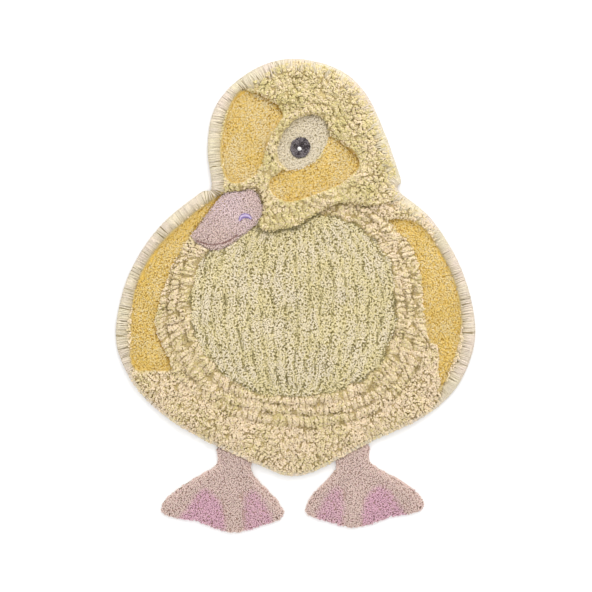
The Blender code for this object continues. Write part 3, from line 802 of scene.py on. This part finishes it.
def tufts(points, field, style, rng, sunk, tint=None, tone=0.0):
    """The strands of one field of pile, which rise from their roots and bend over to their tips."""
    count = len(points)
    way = leaning(points, field, style.spread, rng)
    lift = rng.normal(0, style.lift, count)
    tone = tone + rng.normal(0, TONE_SPREAD, count) + TONE_SPREAD * patch_tone(points)
    between = drawn = 0
    if style.lock:
        lock, drawn, aside, run = in_locks(points, field, style, rng)
        way = unit(0.25 * way + 0.75 * run)
        drawn = drawn * style.gather
        each = rng.normal(0, 1, (lock.max() + 1, 2))[lock]
        lift = lift + style.crown * (0.6 - aside**2) + style.bulk * each[:, 0]
        tone = 0.6 * tone + 0.45 * each[:, 1]
        # Yarns at the outer edge of a lock drop and are painted dark, as shade in the gaps between locks.
        outermost = np.clip((aside - 0.8) / 0.2, 0, 1)
        between = outermost * patchy(speck_gaps, points, LOCK_GAP_SHOWS)
    # Pits drop and are painted dark, as shade in small gaps among the tips.
    odds = style.pits * (1 + 0.9 * speck_gaps(points))
    pits = (rng.uniform(0, 1, count) < odds) * rng.uniform(0.65, 1, count)
    drawn = drawn + pushed_from(points, points[pits > 0])

    reach = style.reach * rng.uniform(0.6, 1.3, count) * (1 - 0.5 * np.maximum(sunk, pits))
    tips = points + drawn + way * reach[:, None]
    top = np.minimum(0.5 * rug_height(points) + 0.5 * rug_height(tips), style.cap)
    top = top + lift - style.drop * np.maximum(between, pits) - SUNK_DROP * sunk
    root_z = np.maximum(top - style.sink, CLOTH_THICK)
    tip_z = np.maximum(top, root_z + 0.003)
    side = left_of(way)
    curl = side * rng.normal(0, 0.18, (count, 1)) * reach[:, None]
    paths = bent_paths(points, tips, root_z, tip_z, tip_z + 0.3 * reach, curl, style.rings)
    thick = style.radius * rng.uniform(0.85, 1.15, count) * (1 - 0.45 * pits)
    radii = thick[:, None] * np.interp(np.linspace(0, 1, style.rings), *BLOOM)
    if tint is None:
        tint = field.tint + 0.3 * patch_tint(points) + rng.normal(0, TINT_SPREAD, count)
    # What is given as sunk here is painted shade: in grooves, in the gaps between locks and at pits.
    return Strand(paths, radii, side, tone, tint, np.maximum(SUNK_SHADE * np.maximum(sunk, between), pits))


def field_pile(field, rng):
    """The pile of one field of the body."""
    style = STYLES[field.style]
    points = field_points(field.name, style, rng)
    tint = None
    if field.name == "belly_pile":
        # Painted shade: the belly's pile is tinted yellower along the lines between its ribs.
        ribbed = near(from_rib_line(points), RIB_TINT_HALF)
        tint = 0.7 + 0.6 * patch_tint(points) - 0.6 * ribbed + rng.normal(0, 0.3, len(points))
    return tufts(points, field, style, rng, sunk_share(field.name, points), tint)


# ---- The rim ----


def rim_start(base, out, layer, rng):
    """How far in from the edge each of the rim's yarns starts: never inside a short field."""
    soft = softness(base)
    start = layer["start"] * rng.uniform(0.82, 1.12, len(base))
    start = start * (1 - 0.45 * soft * rng.uniform(0, 1, len(base)))
    start = RIM_SHORT + (start - RIM_SHORT) * combed(base)
    for inset in RIM_PROBES:
        held = np.isin(field_of(base - out * inset), [*CUT_LOOPS, "beak", ""])
        start = np.where(held, np.minimum(start, inset - 0.001), start)
    return start


def level_height(flat, out):
    """The rug's height at paths over its rim, evened out over the locks of its edge."""
    aside = left_of(out)[:, None] * LOCK_HALF
    beside = [rug_height((flat + shift).reshape(-1, 2)) for shift in (-aside, 0 * aside, aside)]
    return (np.array([0.25, 0.5, 0.25]) @ np.array(beside)).reshape(flat.shape[:2])


def rim_layer(layer, rng):
    """One layer of long yarns that are combed out over the rim in small bundles."""
    base = along(BODY_LOOP, RIM_PITCH)
    count = len(base)
    out = outward(base)
    out = unit(sum(np.roll(out, shift, axis=0) for shift in range(-3, 4)))
    soft = softness(base)
    bundle = np.cumsum(rng.uniform(0, 1, count) < BUNDLE_SHARE)
    middle = np.bincount(bundle, np.arange(count)) / np.maximum(np.bincount(bundle), 1)
    pull = (middle[bundle] - np.arange(count)) * RIM_PITCH * BUNDLE_PULL
    turn = rng.normal(0, BUNDLE_TURN, bundle.max() + 1)[bundle] * (1 + 2 * soft)
    turn = turn + rng.normal(0, 1, count) * (RIM_TURN[0] + RIM_TURN[1] * soft)
    run = unit(out + left_of(out) * turn[:, None])
    side = left_of(run)

    t = np.linspace(0, 1, RIM_RINGS)
    start = rim_start(base, out, layer, rng)
    end = RIM_TIP + rng.normal(0, 0.0003, count)
    inset = start[:, None] * (1 - t) + end[:, None] * t
    drift = pull[:, None] * t + np.sin(t * 5 + rng.uniform(0, 6, (count, 1))) * RIM_SWAY
    flat = base[:, None] - run[:, None] * inset[..., None] + side[:, None] * drift[..., None]
    lift = layer["lift"] + rng.normal(0, RIM_LIFT, (count, 1))
    z = level_height(flat - 0.0012 * out[:, None], out) + np.interp(t, *RIM_DIP) + lift
    # The first yarn of some bundles drops and is painted dark, as shade in thin gaps between bundles.
    first = np.diff(bundle, prepend=-1) > 0
    sunk = first * (rng.uniform(0, 1, count) < 0.5 * (1 - soft)) * rng.uniform(0.3, 1, count)
    z -= RIM_DROP * sunk[:, None]
    z[:, -1] = np.minimum(z[:, -1], z[:, -2] - RIM_RADIUS)
    radii = RIM_RADIUS * np.interp(t, *RIM_TAPER) * rng.uniform(0.88, 1.12, (count, 1))
    tone = rng.normal(0, 0.8, count) * (1 - 0.3 * soft) + 0.5 * patch_tone(base)
    tint = 0.5 + 0.6 * patch_tint(base) + rng.normal(0, 0.15, count)
    return Strand(raised(flat, np.maximum(z, RIM_RADIUS)), radii, side, tone, tint, sunk)


# ---- The feet ----


def fan_points(foot, loop, pitch, rng):
    """Points over a foot, in rows that fan out from its ankle towards the toes."""
    source = np.array(foot["ankle"]) + (0, FAN_ABOVE)
    far = np.linalg.norm(loop - source, axis=1).max()
    rows = []
    for radius in np.arange(FAN_START, far, pitch * 0.92):
        angle = np.arange(*FAN_ARC, pitch / radius) + rng.uniform(0, pitch / radius)
        rows.append(source + radius * heading(angle))
    points = np.vstack(rows)
    points = points + rng.uniform(-FAN_STRAY, FAN_STRAY, points.shape) * pitch
    clear = nearest(points, loop)[0] > FOOT_CLEAR
    return points[clear & inside(points, loop) & ~inside(points, BODY_LOOP)]


def in_web(points, outline, foot):
    """How much each point lies in a web of the foot, whose colour fades in from its edge."""
    edge = smooth(on_foot(outline, foot))
    away = nearest(points, edge)[0] * np.where(inside(points, edge), 1, -1)
    return np.clip(away / WEB_FADE + 0.45, 0, 1)


def foot_pile(foot, loop, rng):
    """Fine pile on a foot, combed from its ankle to its toes, and more lilac on its webs."""
    style = STYLES["fine"]
    points = fan_points(foot, loop, style.pitch, rng)
    outer, inner = (in_web(points, outline, foot) for outline in (OUTER_WEB, INNER_WEB))
    tint = np.clip(np.maximum(outer, 0.8 * inner) + rng.normal(0, 0.14, len(points)), 0, 1)
    toe = on_foot(MIDDLE_TOE, foot)
    shift = np.array([TOE_HALF_WIDTH * foot["size"], 0])
    sides = [nearest(points, toe + aside, closed=False)[0] for aside in (-shift, shift)]
    shown = np.minimum(patchy(speck_gaps, points, CREASE_SHOWS), 0.8)
    # Yarns in the creases beside the middle toe drop and are painted dark, as shade in the creases.
    crease = near(np.min(sides, axis=0), CREASE) * shown
    edge = nearest(points, loop)[0]
    pale = 1.5 * np.clip(1 - edge / FOOT_PALE, 0, 1)
    middle = np.clip(1 - np.abs(edge - 0.03) / 0.02, 0, 1) * (1 - np.maximum(outer, inner))
    down = Field(foot["name"], "foot_pile", "fine", 270)
    return tufts(points, down, style, rng, crease, tint, pale - 0.9 * middle)


# ---- The beak and the stitches ----


def node_copy(node, name):
    """A new piece with a copy of the node's mesh."""
    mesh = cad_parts[node].data.copy()
    mesh.name = name
    return linked(bpy.data.objects.new(name, mesh))


def rounded_pad(node, name, smoothing):
    """A padded body with the node's form, subdivided and softened at its edges."""
    pad = node_copy(node, name)
    shape = bmesh.new()
    shape.from_mesh(pad.data)
    bmesh.ops.subdivide_edges(shape, edges=shape.edges[:], cuts=1, use_grid_fill=True)
    axes = {"use_axis_x": True, "use_axis_y": True, "use_axis_z": True}
    bmesh.ops.smooth_vert(shape, verts=shape.verts[:], factor=smoothing, **axes)
    shape.to_mesh(pad.data)
    shape.free()
    pad.data.shade_smooth()
    return pad


def beak_skin(points):
    """The height of the beak's cover, which rolls down at its edge."""
    edge, gap = nearest(points, BEAK_LOOP)
    short = np.clip(BEAK_ROLL - edge, 0, None)
    drop = BEAK_ROLL_DROP * (short / BEAK_ROLL) ** 2
    return beak_height(points - unit(gap) * short[:, None]) - drop


def beak_loops(rng):
    """Small curled loops that cover the beak, lower and painted with shade along the seam of the mouth."""
    points = staggered(BEAK_LOOP.min(axis=0), BEAK_LOOP.max(axis=0), LOOP_PITCH, rng)
    edge = nearest(points, BEAK_LOOP)[0]
    kept = inside(points, BEAK_LOOP) & (edge > 0.0005)
    points, edge = points[kept], edge[kept]
    count = len(points)
    seam = near(nearest(points, MOUTH_LINE, closed=False)[0], SEAM_HALF)
    pits = (rng.uniform(0, 1, count) < LOOP_PITS) * rng.uniform(0.4, 0.9, count)
    # Painted shade on loops in the mouth's seam, at pits and near the beak's edge.
    sunk = np.max([0.8 * seam, pits, 0.5 * np.clip(1 - edge / 0.002, 0, 1)], axis=0)
    t = np.linspace(0, 1, LOOP_RINGS)
    angle = rng.uniform(0, 2 * math.pi, (count, 1)) + rng.uniform(2.6, 4.4, (count, 1)) * t
    radius = rng.uniform(0.0011, 0.0019, (count, 1))
    flat = points[:, None] + radius[..., None] * heading(angle)
    arch = LOOP_ARCH * np.sin(math.pi * t) + rng.normal(0, 0.0002, (count, 1))
    z = beak_skin(points)[:, None] + 0.0003 + arch - LOOP_DROP * sunk[:, None]
    low, high = BEAK_LOOP[:, 1].min(), BEAK_LOOP[:, 1].max()
    tint = 0.75 - 0.7 * (points[:, 1] - low) / (high - low) + 0.5 * patch_tint(points)
    radii = np.full((count, LOOP_RINGS), LOOP_RADIUS) * rng.uniform(0.85, 1.15, (count, 1))
    side = left_of(unit(flat[:, -1] - flat[:, 0]))
    tone = rng.normal(0, 0.5, count) + 0.5 * patch_tone(points)
    return [Strand(raised(flat, z), radii, side, tone, tint + rng.normal(0, 0.15, count), sunk)]


def stitches(starts, ends, z, rise, rng, thick=THREAD, tint=0.0):
    """Straight stitches from starts to ends, each a thread that arches over the cloth."""
    count = len(starts)
    t = np.linspace(0, 1, STITCH_RINGS)
    flat = starts[:, None] * (1 - t)[:, None] + ends[:, None] * t[:, None]
    arch = rise * np.sin(math.pi * t) * rng.uniform(0.8, 1.2, (count, 1))
    z = np.broadcast_to(z, count)[:, None] + arch + rng.normal(0, 0.00015, (count, 1))
    radii = thick * np.interp(t, *STITCH_TAPER) * rng.uniform(0.9, 1.1, (count, 1))
    tone = rng.normal(0, 0.6, count)
    tint = tint + rng.uniform(-0.1, 0.1, count)
    return Strand(raised(flat, z), radii, left_of(unit(ends - starts)), tone, tint, np.zeros(count))


def running_stitches(line, length, z, rng, thick=THREAD, tint=0.0):
    """Stitches end to end along a line, at the heights that a function gives."""
    knots = along(line, length, closed=False)
    starts, ends = knots[:-1], knots[:-1] + 0.85 * np.diff(knots, axis=0)
    return stitches(starts, ends, z(starts), 0.0006, rng, thick, tint)


def pupil_stitches(rng):
    """Two layers of long and short stitches along the pupil, with a ragged edge."""
    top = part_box("pupil")[1][2]
    turn = math.radians(PUPIL["turn"])
    run, across_run = heading(turn), heading(turn + math.pi / 2)
    wide, tall = PUPIL["half"]
    strands = []
    for pitch, length, sink in PUPIL_LAYERS:
        middles = []
        for row, across in enumerate(np.arange(-tall, tall, pitch)):
            half = wide * math.sqrt(max(0, 1 - (across / tall) ** 2)) * rng.uniform(0.88, 1.06)
            last = max(half - length * 0.45, 0)
            at = np.arange(-last + (row % 3) * length * 0.3, last, length * 0.92)
            middles += [(a, across) for a in (-last, *at, last)]
        middles = np.array(middles)
        count = len(middles)
        middles += rng.uniform(-0.12, 0.12, middles.shape) * (length, pitch)
        centres = middles @ np.array([run, across_run]) + PUPIL["centre"]
        slant = rng.normal(0, 0.25, (count, 1))
        half = length * rng.uniform(0.36, 0.52, (count, 1)) * unit(run + across_run * slant)
        tint = np.clip(0.5 + 0.8 * patch_tone(centres * 5) + rng.normal(0, 0.4, count), 0, 1)
        ends = (centres - half, centres + half)
        strands.append(stitches(*ends, top - sink, THREAD, rng, PUPIL_THREAD, tint))
    return strands


def glint_stitches(rng):
    """Short satin stitches side by side over the glint."""
    across = np.arange(-0.85, 0.86, 0.24)
    half = np.sqrt(1 - across**2) * 0.95
    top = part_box("pupil_glint")[1][2]
    starts = ellipse_points(GLINT, np.stack([-half, across], axis=1))
    ends = ellipse_points(GLINT, np.stack([half, across], axis=1))
    return [stitches(starts, ends, top - 0.0013, 0.0008, rng, 0.0008)]


def nostril_stitches(rng):
    """Satin stitches across the nostril's crescent, with a darker thread along both its sides."""
    line = along(smooth(NOSTRIL, closed=False), 0.0009, closed=False)
    side = left_of(unit(np.gradient(line, axis=0)))
    half = NOSTRIL_HALF * np.sin(np.linspace(0.25, math.pi - 0.25, len(line)))[:, None]
    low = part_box("nostril")[0][2]
    outer, inner = line + side * (half + 0.0003), line - side * (half + 0.0003)
    lifted = [
        running_stitches(edge, 0.003, lambda points: low + 0.0012, rng, thick=0.001, tint=0.9)
        for edge in (outer, inner)
    ]
    return [stitches(line - side * half, line + side * half, low + 0.0006, 0.0026, rng), *lifted]


def mouth_seam(rng):
    """A line of small stitches in the crease of the mouth."""
    return [running_stitches(MOUTH_LINE, 0.0036, lambda points: beak_skin(points) + 0.0003, rng)]


# ---- The bed of the pile and the ground cloth ----


def pile_bed():
    """The dense foot of the pile, a little below its top, which shows only between the yarns."""
    bed = node_copy("rug", "pile_bed")
    mesh = bed.data
    places = np.empty(len(mesh.vertices) * 3, np.float32)
    mesh.vertices.foreach_get("co", places)
    places = places.reshape(-1, 3)
    flat = places[:, :2].astype(float)
    names = field_of(flat)
    edge, gap = nearest(flat, BODY_LOOP)
    within = inside(flat, BODY_LOOP)
    for loop in FEET_LOOPS:
        foot_only = ~within & inside(flat, loop)
        foot_edge, foot_gap = nearest(flat, loop)
        edge = np.where(foot_only, foot_edge, edge)
        gap = np.where(foot_only[:, None], foot_gap, gap)
        within |= foot_only
    inward = np.where(within, -1, 1)[:, None] * unit(gap)
    places[:, :2] += inward * (np.clip(1 - edge / (2 * BED_INSET), 0, 1) * BED_INSET)[:, None]
    drop = np.where(np.isin(names, [*CUT_LOOPS, ""]), SHORT_BED_DROP, BED_DROP)
    top = np.maximum(places[:, 2] - drop, CLOTH_THICK + FLOOR_CLEAR)
    places[:, 2] = np.where(places[:, 2] > FLOOR_CLEAR, top, CLOTH_THICK)
    mesh.vertices.foreach_set("co", places.ravel())
    mesh.update()

    slots = {field.name: field.slot for field in FIELDS} | {"": "foot_pile", "beak": "cream_pile"}
    # Painted shade: the roots' colour, going darker under locks and where the pile is sunk.
    sunk = np.zeros(len(flat))
    for field in FIELDS:
        here = names == field.name
        shade = BED_SHADE if STYLES[field.style].lock else 0
        sunk[here] = shade + (SUNK_SHADE - shade) * sunk_share(field.name, flat[here])
    roots = np.array([YARNS[slots[name]].root for name in names])
    shade_colours = np.array([YARNS[slots[name]].deep for name in names])
    colours = np.ones((len(flat), 4), np.float32)
    colours[:, :3] = roots + (shade_colours - roots) * sunk[:, None]
    ground = mesh.attributes.new("ground", "FLOAT_COLOR", "POINT")
    ground.data.foreach_set("color", colours.ravel())
    return bed


def ground_cloth():
    """The woven cotton ground that the yarns are tufted through, cut to the rug's outline."""
    loops = [along(loop, CLOTH_STEP) for loop in (BODY_LOOP, *FEET_LOOPS)]
    loops = [loop - outward(loop) * CLOTH_INSET for loop in loops]
    low, high = np.vstack(loops).min(axis=0), np.vstack(loops).max(axis=0)
    grid = staggered(low, high, CLOTH_GRID, seeded(5))
    margin = np.min([nearest(grid, loop)[0] for loop in loops], axis=0)
    grid = grid[(margin > CLOTH_STEP) & np.any([inside(grid, loop) for loop in loops], axis=0)]
    rings, first = [], 0
    for loop in loops:
        rings.append(list(range(first, first + len(loop))))
        first += len(loop)
    points = [Vector(point) for point in np.vstack([*loops, grid])]
    flat, _, triangles, *_ = delaunay_2d_cdt(points, [], rings, 1, 1e-6)
    shape = bmesh.new()
    corners = [shape.verts.new((p.x, p.y, 0.0)) for p in flat]
    for triangle in triangles:
        shape.faces.new([corners[i] for i in triangle])
    bmesh.ops.delete(shape, geom=[v for v in shape.verts if not v.link_faces], context="VERTS")
    bmesh.ops.recalc_face_normals(shape, faces=shape.faces[:])
    copied = bmesh.ops.extrude_face_region(shape, geom=shape.faces[:])["geom"]
    top = [item for item in copied if isinstance(item, bmesh.types.BMVert)]
    bmesh.ops.translate(shape, verts=top, vec=(0, 0, CLOTH_THICK))
    bmesh.ops.recalc_face_normals(shape, faces=shape.faces[:])
    mesh = bpy.data.meshes.new("ground_cloth")
    shape.to_mesh(mesh)
    shape.free()
    return linked(bpy.data.objects.new("ground_cloth", mesh))


# ---- Materials ----


class Shader:
    """A new material with short calls for the nodes that this file uses."""

    def __init__(self, name, roughness):
        self.material = bpy.data.materials.new(name)
        self.material.use_nodes = True
        self.nodes = self.material.node_tree.nodes
        self.out = self.nodes["Principled BSDF"]
        self.feed(self.out, {"Roughness": roughness, "Specular IOR Level": 0.1})
        self.place = self.made("TexCoord").outputs["Object"]

    def feed(self, node, values):
        """Sets a node's inputs to the values, or links those that are sockets to them."""
        for socket, value in values.items():
            if isinstance(value, bpy.types.NodeSocket):
                self.material.node_tree.links.new(value, node.inputs[socket])
            else:
                node.inputs[socket].default_value = (*value, 1.0) if isinstance(value, tuple) else value

    def made(self, kind, values=None, **settings):
        """A new node, with its settings and the values of its inputs."""
        node = self.nodes.new("ShaderNode" + kind)
        for setting, value in settings.items():
            setattr(node, setting, value)
        self.feed(node, values or {})
        return node

    def attribute(self, name, output="Fac"):
        return self.made("Attribute", attribute_name=name).outputs[output]

    def noise(self, scale, detail=2.0):
        values = {"Scale": scale, "Detail": detail, "Vector": self.place}
        return self.made("TexNoise", values).outputs["Fac"]

    def wave(self, scale, direction):
        values = {"Scale": scale, "Distortion": 0.6, "Vector": self.place}
        return self.made("TexWave", values, bands_direction=direction).outputs["Fac"]

    def mixed(self, kind, a, b, share):
        values = {6: a, 7: b, 0: share}
        return self.made("Mix", values, data_type="RGBA", blend_type=kind).outputs[2]

    def ranged(self, value, low, high, new_low, new_high):
        values = {"Value": value, "From Min": low, "From Max": high}
        values |= {"To Min": new_low, "To Max": new_high}
        return self.made("MapRange", values).outputs["Result"]

    def varied(self, colour, value, limits):
        """The colour times the value, which is taken from its own range to one of shares."""
        return self.mixed("MULTIPLY", colour, self.ranged(value, *limits), 1.0)

    def finish(self, colour, relief, strength, distance):
        values = {"Strength": strength, "Distance": distance, "Height": relief}
        bump = self.made("Bump", values).outputs["Normal"]
        self.feed(self.out, {"Base Color": colour, "Normal": bump})
        return self.material


def yarn_material(name, yarn, roughness=0.92):
    """Cotton yarn with painted shade at its root and where it is sunk, fine fibres and its own tone."""
    shader = Shader(name, roughness)
    colour = shader.mixed("MIX", yarn.main, yarn.other, shader.attribute("tint"))
    # Painted shade: the root colour on each yarn's lower part, and the shade colour where it is sunk.
    rise = shader.ranged(shader.attribute("rise"), 0.0, 0.6, 0.0, 1.0)
    colour = shader.mixed("MIX", yarn.root, colour, rise)
    colour = shader.mixed("MIX", colour, yarn.deep, shader.attribute("sunk"))
    colour = shader.varied(colour, shader.attribute("tone"), TONES)
    colour = shader.varied(colour, shader.noise(380.0, 1.0), MOTTLE)
    fibre = shader.noise(900.0)
    return shader.finish(shader.varied(colour, fibre, FIBRES), fibre, 0.4, 0.0006)


def weave_material(name, light, dark, scale):
    """Plain-woven cotton canvas."""
    shader = Shader(name, roughness=0.95)
    weave = shader.mixed("MULTIPLY", shader.wave(scale, "X"), shader.wave(scale, "Y"), 1.0)
    colour = shader.mixed("MIX", dark, light, weave)
    patched = shader.varied(colour, shader.noise(25.0), (0.3, 0.7, 0.88, 1.08))
    return shader.finish(patched, weave, 0.6, 0.0004)


def felted_material(name, colour):
    """Matted cotton or a padded cover. The colour is one of its own, or that of an attribute."""
    shader = Shader(name, roughness=0.95)
    grain = shader.noise(420.0, 3.0)
    if isinstance(colour, str):
        colour = shader.attribute(colour, "Color")
    return shader.finish(shader.varied(colour, grain, (0.35, 0.65, 0.7, 1.1)), grain, 0.8, 0.001)


# ---- Floor, light and camera ----


def stage():
    """A pale floor, a soft light from beyond the head, and the camera straight above."""
    bpy.ops.mesh.primitive_plane_add(size=12, location=(0, 0, -0.0004))
    floor = bpy.context.object
    floor.name = "floor"
    paint = Shader("floor_paint", roughness=0.8)
    paint.feed(paint.out, {"Base Color": (0.92, 0.92, 0.92)})
    floor.data.materials.append(paint.material)

    world = bpy.data.worlds.new("studio")
    world.use_nodes = True
    background = world.node_tree.nodes["Background"].inputs
    background["Color"].default_value = (1.0, 1.0, 1.0, 1.0)
    background["Strength"].default_value = 1.15
    bpy.context.scene.world = world
    lamp = bpy.data.lights.new("key_light", "AREA")
    lamp.shape = "RECTANGLE"
    lamp.size, lamp.size_y = 2.4, 1.6
    lamp.energy = 40
    lamp.color = (1.0, 0.99, 0.97)
    key = linked(bpy.data.objects.new("key_light", lamp))
    key.location = (0.7, 2.2, 1.9)
    key.rotation_euler = (-key.location).to_track_quat("-Z", "Y").to_euler()

    camera = bpy.data.cameras.new("camera")
    camera.lens = 85
    camera.sensor_width = 36
    eye = linked(bpy.data.objects.new("camera", camera))
    eye.location = (VIEW_CENTRE, 0, VIEW_WIDTH * camera.lens / camera.sensor_width)
    bpy.context.scene.camera = eye
    bpy.context.scene.view_settings.view_transform = "Standard"


# ---- The rug ----


def dress(piece, node, material):
    """Gives a piece its material, and lets it ride and stand for its CAD node."""
    piece.data.materials.clear()
    piece.data.materials.append(material)
    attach(piece, "root")
    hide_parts(node)
    return piece


def yarn_piece(name, strands, slot, node, yarn=None, **finish):
    """A piece of many yarns, in the colours of its slot unless others are named."""
    material = yarn_material(name, YARNS[yarn or slot], **finish)
    return dress(yarn_mesh(name, strands), node, material)


pile = [
    yarn_piece(field.name, [field_pile(field, seeded(100 + k))], field.slot, "rug")
    for k, field in enumerate(FIELDS)
]
rim = [rim_layer(layer, seeded(200 + k)) for k, layer in enumerate(RIM_LAYERS)]
pile.append(yarn_piece("rim_pile", rim, "cream_pile", "rug", yarn="rim_pile"))
for k, (foot, loop) in enumerate(zip(FEET, FEET_LOOPS)):
    strands = [foot_pile(foot, loop, seeded(300 + k))]
    pile.append(yarn_piece(foot["name"] + "_pile", strands, "foot_pile", "rug"))
bed = dress(pile_bed(), "rug", felted_material("pile_bed", "ground"))
canvas = weave_material("ground_cloth", *CANVAS, 500.0)
cloth = dress(ground_cloth(), "rug", canvas)

plush = felted_material("beak_pad", BEAK_PINK)
pad = dress(rounded_pad("beak", "beak_pad", 0.3), "beak", plush)
yarn_piece("beak_loops", beak_loops(seeded(400)), "beak_plush", "beak")
yarn_piece("mouth_seam", mouth_seam(seeded(410)), "beak_plush", "beak", yarn="seam_thread")
thread = {"roughness": 0.6}
yarn_piece("nostril_stitches", nostril_stitches(seeded(420)), "nostril_thread", "nostril", **thread)
base = felted_material("pupil_base", CHARCOAL)
dress(rounded_pad("pupil", "pupil_base", 0.5), "pupil", base)
yarn_piece("pupil_stitches", pupil_stitches(seeded(430)), "pupil_thread", "pupil", **thread)
yarn_piece("glint_stitches", glint_stitches(seeded(440)), "glint_thread", "pupil_glint", **thread)

stage()
